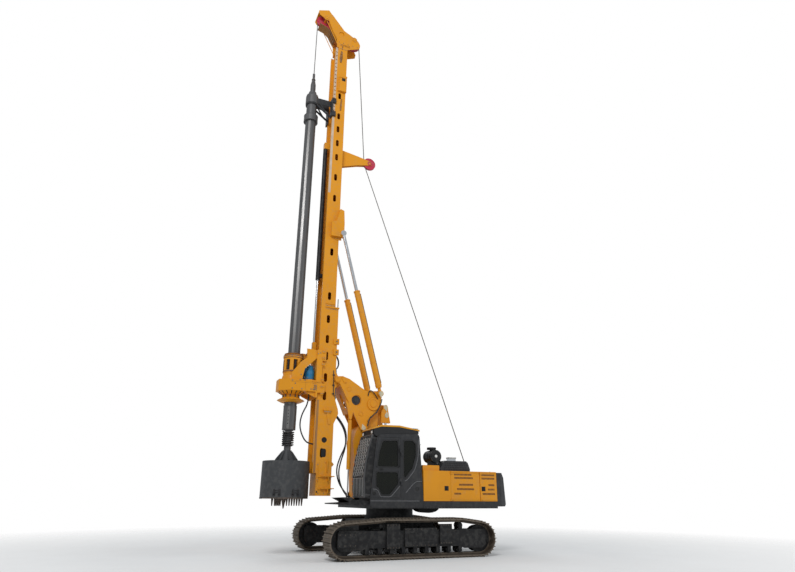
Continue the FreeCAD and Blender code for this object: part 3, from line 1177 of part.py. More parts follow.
def head_outline():
    """Side plate of the head, from the mast's top up to its nose and back to the rear sheave."""
    return [(MAST_REAR, MAST_TOP + 30.0), (MAST_FRONT + 60.0, MAST_TOP + 30.0), (2646.0, 19228.0),
            (2833.0, 19551.0), (3010.0, 20000.0), (3110.0, 20020.0), (3400.0, 20180.0), (3470.0, 20290.0),
            (3455.0, 20380.0), (3040.0, 20545.0), (2700.0, 20105.0), (2410.0, 19750.0), (2050.0, 19580.0),
            (1730.0, 19390.0), (1640.0, 19210.0), (1670.0, 19030.0), (1740.0, 18990.0)]


def mast_head():
    """Two inclined plates with the sheaves between them, on a base plate."""
    near, far = HEAD_PLATE_Y
    plate = prism_y(head_outline(), HEAD_PLATE_Y)
    eye = cyl_y(115.0, (2450.0, 19500.0), (near - 1, far + 1))
    eye = eye.common(prism_y([(2340.0, 19360.0), (2700.0, 19500.0), (2500.0, 19700.0), (2340.0, 19640.0)],
                             (near - 2, far + 2)))
    plate = plate.cut(eye)
    strip = prism_y([(2650.0, 19228.0), (2837.0, 19551.0), (3000.0, 19970.0), (2978.0, 19978.0),
                     (2815.0, 19560.0), (2632.0, 19240.0)], (near - HEAD_FLANGE, near + 1.0))
    base = box((MAST_REAR, MAST_FRONT + 60.0), (-MAST_HALF_WIDTH, MAST_HALF_WIDTH), (MAST_TOP, MAST_TOP + 40.0))
    rear_web = box((2235.0, 2265.0), (-near - 1.0, near + 1.0), (MAST_TOP + 20.0, 19330.0))
    cap = prism_y([(3040.0, 20543.0), (3452.0, 20379.0), (3440.0, 20352.0), (3028.0, 20517.0)],
                  (-near - 1.0, near + 1.0))
    pins = [cyl_y(SHEAVE_PIN_R, centre, (-near - 1.0, near + 1.0)) for centre in (FRONT_SHEAVE, REAR_SHEAVE)]
    return fuse([base, rear_web, cap] + pins + both(plate) + both(strip))


def sheave(centre, radius):
    """A rope sheave: groove radius out to the rope's centre line, and raised lips."""
    wheel = cyl_y(radius - ROPE_R, centre, (-SHEAVE_HALF, SHEAVE_HALF))
    lip = cyl_y(radius + SHEAVE_LIP, centre, (SHEAVE_HALF - 16.0, SHEAVE_HALF))
    wheel = fuse([wheel] + both(lip))
    return wheel.cut(cyl_y(SHEAVE_PIN_R + PIN_FIT, centre, (-SHEAVE_HALF - 1, SHEAVE_HALF + 1)))


def crowd_barrel():
    tube = cyl_z(CROWD_TUBE_R, CROWD_X, 0, CROWD_TUBE_Z)
    hollow = cyl_z(CROWD_ROD_R + 1.0, CROWD_X, 0, (CROWD_TUBE_Z[0] - 1, CROWD_TUBE_Z[1] - 120.0))
    saddle = box((MAST_FRONT + SEAT, CROWD_X), (-70.0, 70.0), (CROWD_TUBE_Z[0] + 100.0, CROWD_TUBE_Z[0] + 220.0))
    return fuse([tube, saddle]).cut(hollow)


def crowd_rod():
    return cyl_z(CROWD_ROD_R, CROWD_X, 0, (CROWD_LUG_Z, CROWD_ROD_TOP))


# ---- rotary drive, kelly bar and bucket ----
def carriage_shoes(rear, z_pairs):
    """Blocks that wrap the mast's rails on both sides, from rear to the rails' front."""
    blocks = []
    for z in z_pairs:
        shoe = box((rear, RAIL_X + RUN + 10.0), (MAST_HALF_WIDTH + RUN, CARRIAGE_HALF_WIDTH), z)
        blocks += both(shoe)
        pad = box((RAIL_X + SEAT, RAIL_X + RUN + 10.0), (RAIL_INNER + 10.0, MAST_HALF_WIDTH - 10.0), z)
        blocks += both(pad)
    return blocks


def drive_carriage():
    """Sliding carriage with its rail shoes, rod lug and gusset plates."""
    back = RAIL_X + RUN
    front = back + CARRIAGE_PLATE
    low, high = CARRIAGE_Z
    plate = box((back, front), (-CARRIAGE_HALF_WIDTH, CARRIAGE_HALF_WIDTH), CARRIAGE_Z)
    pieces = [plate]
    pieces += carriage_shoes(CHEEK_REAR, ((low + 150.0, low + 450.0), (high - 350.0, high)))
    pieces += carriage_shoes(MAST_FRONT + RUN, ((low + 449.0, high - 349.0),))
    top = GEARBOX_Z[1]
    gusset = prism_y([(KELLY_X + 110.0, top), (KELLY_X - 230.0, top), (KELLY_X - 300.0, 5450.0),
                      (front - 5.0, 5830.0), (front - 5.0, high - 20.0), (2850.0, high), (KELLY_X - 335.0, high + 10.0),
                      (KELLY_X - 355.0, 5815.0), (KELLY_X - 170.0, 5670.0), (KELLY_X + 115.0, 5285.0)],
                     GUSSET_Y)
    pieces += both(gusset)
    under = prism_y([(front - 5.0, low), (front - 5.0, GEARBOX_Z[0]), (KELLY_X - 360.0, GEARBOX_Z[0]),
                     (KELLY_X - 420.0, GEARBOX_Z[0] - 60.0)], GUSSET_Y)
    pieces += both(under)
    lug = box((CROWD_X - 60.0, CROWD_X + 60.0), (-70.0, 70.0), (high - 50.0, CROWD_LUG_Z))
    lug_root = box((back, CROWD_X + 60.0), (-70.0, 70.0), (high - 100.0, high + 60.0))
    return fuse(pieces + [lug, lug_root])


def gearbox():
    """Main gear case with chamfered corners, its collar and its lower cover."""
    back = RAIL_X + RUN + CARRIAGE_PLATE
    half = GEARBOX_HALF_WIDTH
    nose = KELLY_X + GEARBOX_NOSE
    corner = KELLY_X + GEARBOX_CORNER
    case = prism_z([(back, -half + 30.0), (back + 150.0, -half), (corner, -half), (nose, -half + 250.0),
                    (nose, half - 250.0), (corner, half), (back + 150.0, half), (back, half - 30.0)], GEARBOX_Z)
    cover = cone_z(300.0, half - 20.0, KELLY_X, (GEARBOX_Z[0] - 95.0, GEARBOX_Z[0]))
    collar = cone_z(GUSSET_Y[0] - RUN, DRUM_R, KELLY_X, (GEARBOX_Z[1], DRUM_Z[0] - 100.0))
    x, z = DRIVE_HOSE[0]
    gland = bar((x, GEARBOX_Z[0] + 5.0), (x, z), GLAND_R, DRIVE_HOSE_Y)
    whole = fuse([case, cover, collar, gland])
    return whole.cut(cyl_z(SLEEVE_R + RUN, KELLY_X, 0, (GEARBOX_Z[0] - 200.0, DRUM_Z[0] + 10.0)))


def hydraulic_motors():
    low = GEARBOX_Z[1]
    motor = fuse([cyl_z(MOTOR_R, MOTOR_X, MOTOR_Y, (low, low + 340.0)),
                  cyl_z(MOTOR_R - 35.0, MOTOR_X, MOTOR_Y, (low + 330.0, low + 480.0))])
    return Part.makeCompound(both(motor))


def ring_of(shape, count):
    """Copies of a shape spread evenly round the kelly bar."""
    copies = []
    for index in range(count):
        copy = shape.copy()
        copy.rotate(V(KELLY_X, 0, 0), V(0, 0, 1), 360.0 * index / count)
        copies.append(copy)
    return copies


def drive_sleeve():
    """Sleeve that turns the kelly bar: windowed spring drum above and pressure flange below."""
    sleeve = cyl_z(SLEEVE_R, KELLY_X, 0, SLEEVE_Z)
    drum = cyl_z(DRUM_R, KELLY_X, 0, DRUM_Z)
    half = WINDOW_WIDTH / 2.0
    window = box((KELLY_X + SLEEVE_R, KELLY_X + DRUM_R + 20.0), (-half, half), WINDOW_Z)
    for hole in ring_of(window, WINDOW_COUNT):
        drum = drum.cut(hole)
    bearing = cyl_z(DRUM_R - 15.0, KELLY_X, 0, (DRUM_Z[0] - 100.0 + SEAT, DRUM_Z[0] + 5.0))
    rim = cyl_z(DRUM_R + 12.0, KELLY_X, 0, (DRUM_Z[1] - 90.0, DRUM_Z[1] - 60.0))
    flange = fuse([cone_z(FLANGE_R - 130.0, FLANGE_R, KELLY_X, (FLANGE_Z - 60.0, FLANGE_Z)),
                   cone_z(FLANGE_R, SLEEVE_R + 30.0, KELLY_X, (FLANGE_Z, FLANGE_Z + 90.0))])
    whole = fuse([sleeve, drum, bearing, rim, flange])
    return whole.cut(cyl_z(SLEEVE_BORE, KELLY_X, 0, (SLEEVE_Z[0] - 1, SLEEVE_Z[1] + 1)))


def drum_springs():
    """Damping springs that stand in the drum's windows."""
    x = KELLY_X + (SLEEVE_R + DRUM_R) / 2.0
    return Part.makeCompound(ring_of(cyl_z(DRUM_SPRING_R, x, 0, WINDOW_Z), WINDOW_COUNT))


def kelly_guide():
    """Frame that carries the kelly bar's head and slides on the mast's rails."""
    pieces = carriage_shoes(MAST_FRONT + RUN, ((GUIDE_Z[0] + 20.0, GUIDE_Z[0] + 220.0), (GUIDE_Z[1] - 200.0, GUIDE_Z[1])))
    seat_z = KELLY_HEAD_Z[0] - SEAT
    pieces.append(ring_z(KELLY_HEAD_R - 7.0, KELLY_R + 12.0, KELLY_X, (seat_z - 60.0, seat_z)))
    back = RAIL_X + RUN
    side = (GUIDE_ARM_IN, GUIDE_ARM_IN + GUIDE_PLATE)
    arm = box((back, KELLY_X - 150.0), side, (GUIDE_Z[1] - 260.0, GUIDE_Z[1] - 10.0))
    arm = arm.cut(cyl_z(KELLY_HEAD_R + RUN, KELLY_X, 0, GUIDE_Z))
    end = KELLY_X - 158.0
    strut = prism_y([(end, seat_z), (end, seat_z - 90.0), (back + 20.0, GUIDE_Z[0] + 40.0),
                     (back + 20.0, GUIDE_Z[0] + 140.0)], side)
    brace = prism_y([(3150.0, GUIDE_Z[1] - 250.0), (3090.0, GUIDE_Z[1] - 250.0), (2870.0, 15530.0),
                     (2930.0, 15530.0)], side)
    plate = box((back, back + 40.0), (GUIDE_ARM_IN, CARRIAGE_HALF_WIDTH), GUIDE_Z)
    for piece in (arm, strut, brace, plate):
        pieces += both(piece)
    return fuse(pieces)


def kelly_outer():
    """Outer tube, its lower box, top collar and rounded head, open down the middle."""
    tube = cyl_z(KELLY_R, KELLY_X, 0, (KELLY_BOTTOM, KELLY_HEAD_Z[0] + 10.0))
    low = cyl_z(KELLY_BOX_R, KELLY_X, 0, (KELLY_BOTTOM, KELLY_BOX_TOP))
    collar = cyl_z(KELLY_COLLAR_R, KELLY_X, 0, KELLY_COLLAR_Z)
    head = cyl_z(KELLY_HEAD_R, KELLY_X, 0, KELLY_HEAD_Z)
    shoulder = (KELLY_HEAD_Z[1] + KELLY_TOP) / 2.0
    dome = fuse([cone_z(KELLY_HEAD_R, KELLY_HEAD_R - 20.0, KELLY_X, (KELLY_HEAD_Z[1], shoulder)),
                 cone_z(KELLY_HEAD_R - 20.0, KELLY_BORE + 15.0, KELLY_X, (shoulder, KELLY_TOP))])
    whole = fuse([tube, low, collar, head, dome])
    return whole.cut(cyl_z(KELLY_BORE, KELLY_X, 0, (KELLY_BOTTOM - 1, KELLY_TOP + 1)))


def kelly_inner():
    """Inner bar with its damper spring, drive stub and rope swivel."""
    pieces = [cyl_z(INNER_R, KELLY_X, 0, (KELLY_BOTTOM - 20.0, INNER_TOP))]
    shoulder = SWIVEL_TOP - 540.0
    neck = SWIVEL_TOP - 240.0
    pieces.append(cyl_z(SWIVEL_R, KELLY_X, 0, (INNER_TOP - 10.0, shoulder)))
    pieces.append(cone_z(SWIVEL_R, SWIVEL_NECK_R, KELLY_X, (shoulder, neck)))
    pieces.append(cyl_z(SWIVEL_NECK_R, KELLY_X, 0, (neck - 5.0, SWIVEL_TOP)))
    pieces.append(cyl_z(STUB_R, KELLY_X, 0, (BUCKET_HUB_Z - 150.0, SPRING_Z[1] + 10.0)))
    for z in (KELLY_BOTTOM + 20.0, KELLY_HEAD_Z[1] - 200.0):
        pieces.append(cyl_z(KELLY_BORE - SEAT, KELLY_X, 0, (z, z + 160.0)))
    rings = 6
    pitch = (SPRING_Z[1] - SPRING_Z[0]) / rings
    for index in range(rings):
        z = SPRING_Z[0] + index * pitch
        pieces.append(cyl_z(INNER_R + 8.0, KELLY_X, 0, (z, z + pitch * 0.55)))
    return fuse(pieces)


def bucket():
    """Open-bottomed drum with its hub cone and gate ears."""
    shell = cyl_z(BUCKET_R, KELLY_X, 0, BUCKET_Z)
    inside = (BUCKET_Z[0] - 1, BUCKET_Z[1] - BUCKET_WALL)
    shell = shell.cut(cyl_z(BUCKET_R - BUCKET_WALL, KELLY_X, 0, inside))
    hub = cone_z(BUCKET_HUB_R, STUB_R + 30.0, KELLY_X, (BUCKET_Z[1] - 5.0, BUCKET_HUB_Z))
    x = KELLY_X + GATE_HINGE[0]
    ear = box((x - 23.0, x + 23.0), GATE_EAR_Y, (GATE_HINGE[1] - 20.0, BUCKET_Z[0] + 5.0))
    pin = cyl_y(GATE_PIN_R, (x, GATE_HINGE[1]), (-GATE_EAR_Y[1] + 1, GATE_EAR_Y[1] - 1))
    top = BUCKET_Z[1] - 5.0
    rib = prism_y([(KELLY_X, top), (KELLY_X + BUCKET_RIB_R, top), (KELLY_X + BUCKET_RIB_R, top + 60.0),
                   (KELLY_X + STUB_R + 60.0, BUCKET_HUB_Z - 30.0), (KELLY_X, BUCKET_HUB_Z - 30.0)],
                  (-BUCKET_RIB / 2.0, BUCKET_RIB / 2.0))
    whole = fuse([shell, hub, pin] + both(ear) + ring_of(rib, 8))
    socket = cyl_z(STUB_R + SEAT, KELLY_X, 0, (BUCKET_HUB_Z - 150.0 - SEAT, BUCKET_HUB_Z + 1))
    return whole.cut(socket)


def bucket_gate():
    """Round bottom gate with cutting teeth and a pilot bit."""
    top = BUCKET_Z[0] - SEAT
    plate = cyl_z(GATE_R, KELLY_X, 0, (top - GATE_THICK, top))
    hinge_x = KELLY_X + GATE_HINGE[0]
    reach_y = (-BUCKET_R, BUCKET_R)
    plate = plate.cut(box((hinge_x - 5.0, hinge_x + 50.0), reach_y, (top - GATE_THICK - 1, top + 1)))
    notch = (-GATE_EAR_Y[1] - 15.0, GATE_EAR_Y[1] + 15.0)
    plate = plate.cut(box((hinge_x - 40.0, hinge_x + 50.0), notch, (top - GATE_THICK - 1, top + 1)))
    knuckle_y = (-GATE_EAR_Y[0] + 1.0, GATE_EAR_Y[0] - 1.0)
    axis = (hinge_x, GATE_HINGE[1])
    knuckle = cyl_y(GATE_HINGE_R, axis, knuckle_y)
    arm = box((hinge_x - 50.0, hinge_x), knuckle_y, (GATE_HINGE[1] - 10.0, GATE_HINGE[1] + 10.0))
    plate = fuse([plate, knuckle, arm]).cut(cyl_y(GATE_PIN_R + PIN_FIT, axis, (-BUCKET_R, BUCKET_R)))
    pieces = [plate]
    low = top - GATE_THICK + 1.0
    for side, outermost in zip((1.0, -1.0), TOOTH_OUT):
        for index in range(TOOTH_ROW):
            reach_out = 110.0 + index * (outermost - 110.0) / (TOOTH_ROW - 1)
            root = V(KELLY_X + side * reach_out, 60.0 * side, low - TOOTH_LENGTH)
            pieces.append(Part.makeCone(16.0, 34.0, TOOTH_LENGTH, root, V(0, 0, 1)))
    pieces.append(Part.makeCone(15.0, 70.0, PILOT_LENGTH, V(KELLY_X, 0, low - PILOT_LENGTH), V(0, 0, 1)))
    return fuse(pieces)


def nodes():
    """Every sub-part by its node's name."""
    parts = {
        "carbody": carbody(),
        "slew_ring": slew_ring(),
        "upper_frame": upper_frame(),
        "counterweight": counterweight(),
        "housing_left": housing(1),
        "housing_right": housing(-1),
        "fluid_tank": fluid_tank(),
        "engine_block": engine_block(),
        "engine_hood": engine_hood(),
        "exhaust_stack": exhaust_stack(),
        "air_cleaner": air_cleaner(),
        "winch_drum": winch_drum(),
        "cab_shell": cab_shell(),
        "cab_door": cab_door(),
        "cab_door_glass": cab_door_glass(),
        "cab_glass": cab_glass(),
        "cab_front_guard": cab_front_guard(),
        "cab_roof_guard": cab_roof_guard(),
        "operator_seat": operator_seat(),
        "support_arm": support_arm(),
        "boom": boom(),
        "triangle_frame": triangle_frame(),
        "boom_cylinder_tubes": luff_barrels(),
        "boom_cylinder_rods": luff_rods(),
        "boom_cylinder_heads": luff_heads(),
        "mast_cylinder_tubes": tilt_barrels(),
        "mast_cylinder_rods": tilt_rods(),
        "levelling_cylinder_tube": strut_barrel(),
        "levelling_cylinder_rod": strut_rod(),
        "mast_lower": mast_lower(),
        "mast_upper": mast_upper(),
        "mast_head": mast_head(),
        "head_sheave_front": sheave(FRONT_SHEAVE, FRONT_SHEAVE_R),
        "head_sheave_rear": sheave(REAR_SHEAVE, REAR_SHEAVE_R),
        "deflector_sheave": sheave(DEFLECTOR, DEFLECTOR_R),
        "crowd_cylinder_tube": crowd_barrel(),
        "crowd_cylinder_rod": crowd_rod(),
        "drive_carriage": drive_carriage(),
        "drive_gearbox": gearbox(),
        "drive_motors": hydraulic_motors(),
        "drive_sleeve": drive_sleeve(),
        "drive_springs": drum_springs(),
        "kelly_guide": kelly_guide(),
        "kelly_outer": kelly_outer(),
        "kelly_inner": kelly_inner(),
        "bucket": bucket(),
        "bucket_gate": bucket_gate(),
        "mast_hose_outer": hose("mast_hose_outer", OUTER_HOSE, OUTER_HOSE_Y),
        "mast_hose_inner": hose("mast_hose_inner", INNER_HOSE, INNER_HOSE_Y),
        "drive_hose": hose("drive_hose", DRIVE_HOSE, DRIVE_HOSE_Y),
    }
    for side, name in ((1, "left"), (-1, "right")):
        parts["track_" + name] = track(side)
        parts["side_frame_" + name] = side_frame(side)
        parts["running_wheels_" + name] = running_wheels(side)
        parts["front_door_" + name] = house_door(side, 0)
        parts["rear_door_" + name] = house_door(side, 1)
    return parts


os.makedirs("parts", exist_ok=True)
for node, shape in nodes().items():
    shape.translate(V(SHIFT_X, 0, 0))
    shape.exportStep("parts/" + node + ".step")
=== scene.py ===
"""Dresses the rotary drilling rig: camera, light, materials, ropes, hoses and small fittings.

Lengths are in metres. Places are measured from the slewing axis at ground level: x forward, y left, z up.
"""
import bpy
import bmesh
import json
import math
from mathutils import Matrix, Vector


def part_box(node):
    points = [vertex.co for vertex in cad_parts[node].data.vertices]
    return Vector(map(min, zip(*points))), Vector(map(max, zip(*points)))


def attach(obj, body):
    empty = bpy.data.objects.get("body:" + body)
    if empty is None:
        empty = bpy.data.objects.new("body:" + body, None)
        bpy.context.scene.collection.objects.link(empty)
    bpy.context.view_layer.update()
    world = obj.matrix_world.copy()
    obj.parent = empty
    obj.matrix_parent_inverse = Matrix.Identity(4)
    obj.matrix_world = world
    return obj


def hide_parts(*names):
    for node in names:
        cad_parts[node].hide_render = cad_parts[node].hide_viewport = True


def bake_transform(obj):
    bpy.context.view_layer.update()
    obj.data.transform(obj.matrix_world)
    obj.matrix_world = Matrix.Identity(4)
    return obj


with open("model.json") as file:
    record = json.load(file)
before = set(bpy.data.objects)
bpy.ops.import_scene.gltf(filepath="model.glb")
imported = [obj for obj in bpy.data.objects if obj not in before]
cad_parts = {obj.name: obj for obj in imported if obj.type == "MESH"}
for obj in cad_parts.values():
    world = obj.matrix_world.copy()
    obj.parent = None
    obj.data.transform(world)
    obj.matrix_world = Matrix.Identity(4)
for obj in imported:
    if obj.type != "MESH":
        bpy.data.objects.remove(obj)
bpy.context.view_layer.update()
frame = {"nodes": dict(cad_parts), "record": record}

SIDES = (1.0, -1.0)
OUT, UP = (0, 1, 0), (0, 0, 1)


def add_object(name, data, look=None):
    piece = bpy.data.objects.new(name, data)
    bpy.context.scene.collection.objects.link(piece)
    if look:
        data.materials.append(look)
    return piece


# ---------------------------------------------------------------- camera
CAMERA_PLACE = (7.1107, 17.8102, 1.583)
CAMERA_ANGLES = (23.2915, 20.7087, 0.3042)
LENS, SENSOR = 25.469, 36.0


def make_camera():
    yaw, pitch, roll = (math.radians(angle) for angle in CAMERA_ANGLES)
    forward = Vector((-math.sin(yaw) * math.cos(pitch), -math.cos(yaw) * math.cos(pitch), math.sin(pitch)))
    right = Vector((-math.cos(yaw), math.sin(yaw), 0.0))
    up = right.cross(forward)
    data = bpy.data.cameras.new("camera")
    data.lens, data.sensor_width, data.clip_start, data.clip_end = LENS, SENSOR, 0.1, 400.0
    camera = add_object("camera", data)
    turn = Matrix((right * math.cos(roll) + up * math.sin(roll), up * math.cos(roll) - right * math.sin(roll),
        -forward))
    camera.matrix_world = Matrix.Translation(Vector(CAMERA_PLACE)) @ turn.transposed().to_4x4()
    bpy.context.scene.camera = camera


# ---------------------------------------------------------------- materials
MIX_FACTOR, MIX_A, MIX_B, MIX_RESULT = 0, 6, 7, 2


class Graph:
    """Builds a node tree. A source is a node and one of its outputs."""

    def __init__(self, owner):
        owner.use_nodes = True
        self.tree = owner.node_tree
        self.tree.nodes.clear()

    def add(self, kind, inputs=None, **settings):
        node = self.tree.nodes.new("ShaderNode" + kind)
        for key, value in settings.items():
            setattr(node, key, value)
        for socket, value in (inputs or {}).items():
            node.inputs[socket].default_value = value
        return node

    def link(self, source, node, socket):
        self.tree.links.new(source[0].outputs[source[1]], node.inputs[socket])


class Look(Graph):
    """One material."""

    def __init__(self, name):
        self.material = bpy.data.materials.new(name)
        super().__init__(self.material)
        self.out = self.add("OutputMaterial")
        self.shader = self.add("BsdfPrincipled")
        self.link((self.shader, "BSDF"), self.out, "Surface")
        self.coords = self.add("TexCoord")
        self.geometry = self.add("NewGeometry")

    def noise(self, scale, detail=3.0, roughness=0.55, stretch=(1.0, 1.0, 1.0)):
        mapping = self.add("Mapping", {"Scale": stretch})
        self.link((self.coords, "Object"), mapping, "Vector")
        node = self.add("TexNoise", {"Scale": scale, "Detail": detail, "Roughness": roughness})
        self.link((mapping, "Vector"), node, "Vector")
        return node, "Fac"

    def band(self, source, low, high, out_low=0.0, out_high=1.0):
        node = self.add("MapRange", {"From Min": low, "From Max": high, "To Min": out_low,
            "To Max": out_high})
        self.link(source, node, "Value")
        return node, "Result"

    def put(self, value, node, socket):
        """Links a source, or sets a number or a colour."""
        if isinstance(value, tuple) and len(value) == 2:
            self.link(value, node, socket)
        else:
            node.inputs[socket].default_value = (*value, 1.0) if isinstance(value, tuple) else value

    def math(self, operation, first, second):
        node = self.add("Math", operation=operation)
        self.put(first, node, 0)
        self.put(second, node, 1)
        return node, "Value"

    def mix(self, factor, first, second):
        node = self.add("Mix", data_type="RGBA")
        for socket, value in ((MIX_FACTOR, factor), (MIX_A, first), (MIX_B, second)):
            self.put(value, node, socket)
        return node, MIX_RESULT

    def finish(self, colour, rough, shader=None):
        """Sets the shader's colour, its roughness and its plain values."""
        self.link(colour, self.shader, "Base Color")
        self.link(rough, self.shader, "Roughness")
        for socket, value in (shader or {}).items():
            self.shader.inputs[socket].default_value = value

    def bump(self, source, distance, strength):
        node = self.add("Bump", {"Strength": strength, "Distance": distance})
        self.link(source, node, "Height")
        self.link((node, "Normal"), self.shader, "Normal")
        return self.material


def paint(name, colour, dark, light, rough=0.38, dirt=(0.16, 0.12, 0.08), grime=0.35, streak=0.25, coat=0.15,
          chips=0.35):
    """Machine paint: faded patches, rain streaks, patches of dust and chipped corners."""
    look = Look(name)
    tone = look.mix(look.band(look.noise(0.9, 5.0), 0.35, 0.65), dark, light)
    tone = look.mix(0.45, tone, colour)
    streaks = look.band(look.noise(6.0, 4.0, 0.6, (1.0, 1.0, 0.06)), 0.52, 0.75, 0.0, streak)
    tone = look.mix(streaks, tone, dirt)
    dust = look.band(look.noise(2.2, 8.0, 0.65), 0.52, 0.78, 0.0, grime)
    tone = look.mix(dust, tone, dirt)
    corners = look.band((look.geometry, "Pointiness"), 0.505, 0.56)
    wear = look.math("MULTIPLY", corners, look.band(look.noise(9.0, 4.0), 0.45, 0.62, 0.0, chips))
    tone = look.mix(wear, tone, (0.25, 0.24, 0.22))
    smear = look.band(look.noise(3.0, 6.0), 0.3, 0.7, rough - 0.03, rough + 0.04)
    look.finish(tone, look.math("ADD", smear, look.math("MULTIPLY", dust, 0.15)),
                {"Specular IOR Level": 0.3, "Coat Weight": coat, "Coat Roughness": 0.2})
    return look.bump(look.noise(55.0, 3.0), 0.0006, 0.35)


def metal(name, colour, dark, rough=0.35, scratch=(1.0, 1.0, 0.05), rust=0.2, metallic=0.9):
    """Bare or worn steel with rubbed bands and rust blooms."""
    look = Look(name)
    tone = look.mix(look.band(look.noise(14.0, 5.0, 0.6, scratch), 0.35, 0.7), dark, colour)
    blooms = look.band(look.noise(3.5, 8.0, 0.7), 0.52, 0.75, 0.0, rust)
    tone = look.mix(blooms, tone, (0.20, 0.09, 0.04))
    smear = look.band(look.noise(20.0, 4.0, 0.6, scratch), 0.3, 0.7, rough - 0.08, rough + 0.15)
    look.finish(tone, smear, {"Metallic": metallic})
    return look.bump(look.noise(40.0, 4.0, 0.6, scratch), 0.0008, 0.4)


def plain(name, colour, rough, grain=60.0, depth=0.0004, vary=0.15):
    """One colour, a little uneven."""
    look = Look(name)
    tone = look.mix(look.band(look.noise(4.0, 6.0), 0.3, 0.7), tuple(c * (1.0 - vary) for c in colour),
                    tuple(min(1.0, c * (1.0 + vary)) for c in colour))
    look.finish(tone, look.band(look.noise(7.0, 4.0), 0.3, 0.7, rough - 0.06, rough + 0.08))
    return look.bump(look.noise(grain, 3.0), depth, 0.5)


def glass_material():
    look = Look("tinted_glass")
    tone = look.mix(look.band(look.noise(2.0, 5.0), 0.4, 0.7), (0.004, 0.005, 0.003), (0.007, 0.008, 0.004))
    look.finish(tone, look.band(look.noise(5.0, 5.0), 0.4, 0.8, 0.03, 0.10), {"Alpha": 0.9,
        "Specular IOR Level": 0.35})
    return look.material


def track_material():
    """Steel shoes: brown earth in the hollows, bare worn steel on the lugs."""
    look = Look("track_steel")
    tone = look.mix(look.band(look.noise(5.0, 8.0, 0.65), 0.35, 0.65), (0.036, 0.027, 0.02),
        (0.09, 0.064, 0.043))
    lugs = look.band((look.geometry, "Pointiness"), 0.50, 0.55, 0.0, 0.7)
    tone = look.mix(lugs, tone, (0.20, 0.165, 0.13))
    look.finish(tone, look.band(look.noise(8.0, 5.0), 0.3, 0.7, 0.55, 0.85), {"Metallic": 0.35})
    return look.bump(look.noise(35.0, 6.0, 0.7), 0.003, 0.6)


YELLOW = paint("yellow_paint", (0.745, 0.3, 0.008), (0.72, 0.282, 0.006), (0.77, 0.318, 0.011), 0.44,
               (0.36, 0.15, 0.02), 0.08, 0.06, 0.08, 0.1)
GREY = paint("dark_grey_paint", (0.029, 0.0295, 0.032), (0.027, 0.0275, 0.03), (0.031, 0.0315, 0.034), 0.44,
             (0.06, 0.058, 0.056), 0.05, 0.04, 0.04, 0.06)
# Lighter grey for the light lines along the cab's pressed edges and sill: painted highlight.
HIGHLIGHT_GREY = paint("painted_highlight_grey", (0.165, 0.167, 0.175), (0.15, 0.152, 0.16), (0.18, 0.182, 0.19), 0.34,
    grime=0.03, streak=0.02, chips=0.05)
GUARD = paint("guard_bar_paint", (0.06, 0.06, 0.062), (0.05, 0.05, 0.052), (0.07, 0.07, 0.072), 0.3,
    grime=0.05, streak=0.03, coat=0.2, chips=0.1)
BLACK = paint("black_paint", (0.009, 0.009, 0.01), (0.008, 0.008, 0.009), (0.011, 0.011, 0.012), 0.5,
              (0.018, 0.016, 0.014), 0.08, 0.06, 0.0, 0.1)
AMBER = paint("amber_paint", (0.735, 0.325, 0.018), (0.69, 0.295, 0.014), (0.775, 0.35, 0.024), 0.34,
    grime=0.08, streak=0.05, chips=0.1)
BLUE = paint("blue_paint", (0.012, 0.19, 0.4), (0.01, 0.16, 0.35), (0.018, 0.22, 0.45), 0.4, grime=0.1,
    streak=0.06, chips=0.15)
RED = paint("sheave_red", (0.52, 0.028, 0.07), (0.43, 0.022, 0.055), (0.6, 0.04, 0.09), 0.42, grime=0.15,
    streak=0.08)
RED_LENS = plain("red_lens", (0.45, 0.015, 0.012), 0.22, depth=0.0001)
KELLY = metal("kelly_steel", (0.135, 0.134, 0.136), (0.085, 0.084, 0.086), 0.42, rust=0.08, metallic=0.35)
KELLY_LIGHT = metal("rubbed_steel", (0.23, 0.226, 0.222), (0.15, 0.148, 0.146), 0.32, rust=0.08, metallic=0.6)
BUCKET = paint("bucket_paint", (0.052, 0.054, 0.057), (0.049, 0.051, 0.054), (0.056, 0.058, 0.062), 0.5,
               (0.042, 0.042, 0.043), 0.05, 0.04, 0.0, 0.1)
BUCKET_DARK = metal("bucket_fitting_steel", (0.03, 0.03, 0.032), (0.016, 0.016, 0.018), 0.45, rust=0.1,
    metallic=0.3)
TOOTH = metal("tooth_steel", (0.15, 0.12, 0.1), (0.075, 0.06, 0.052), 0.55, rust=0.3, metallic=0.4)
CHROME = metal("rod_chrome", (0.78, 0.79, 0.81), (0.68, 0.69, 0.72), 0.12, rust=0.02, metallic=1.0)
RUSTY = metal("rail_steel", (0.42, 0.215, 0.075), (0.3, 0.14, 0.05), 0.55, rust=0.35, metallic=0.2)
RUST_ORANGE = metal("rusty_ring_steel", (0.33, 0.135, 0.045), (0.2, 0.08, 0.03), 0.65, rust=0.45,
    metallic=0.15)
BARE_MESH = metal("mesh_wire", (0.52, 0.52, 0.51), (0.38, 0.38, 0.37), 0.35, rust=0.05, metallic=0.2)
BRIGHT_BOLT = metal("bolt_steel", (0.33, 0.32, 0.3), (0.2, 0.19, 0.175), 0.38, metallic=0.6)
BOLT_DARK = metal("dusty_bolt_steel", (0.11, 0.095, 0.08), (0.06, 0.052, 0.045), 0.55, rust=0.3, metallic=0.4)
DARK_SPRING = metal("spring_steel", (0.045, 0.043, 0.042), (0.022, 0.021, 0.02), 0.42, rust=0.1, metallic=0.5)
PIPE_GREY = metal("pipe_steel", (0.3, 0.3, 0.3), (0.19, 0.19, 0.19), 0.36, rust=0.1, metallic=0.6)
DARK_FLANGE = metal("flange_steel", (0.06, 0.062, 0.066), (0.032, 0.033, 0.036), 0.45, rust=0.08,
    metallic=0.4)
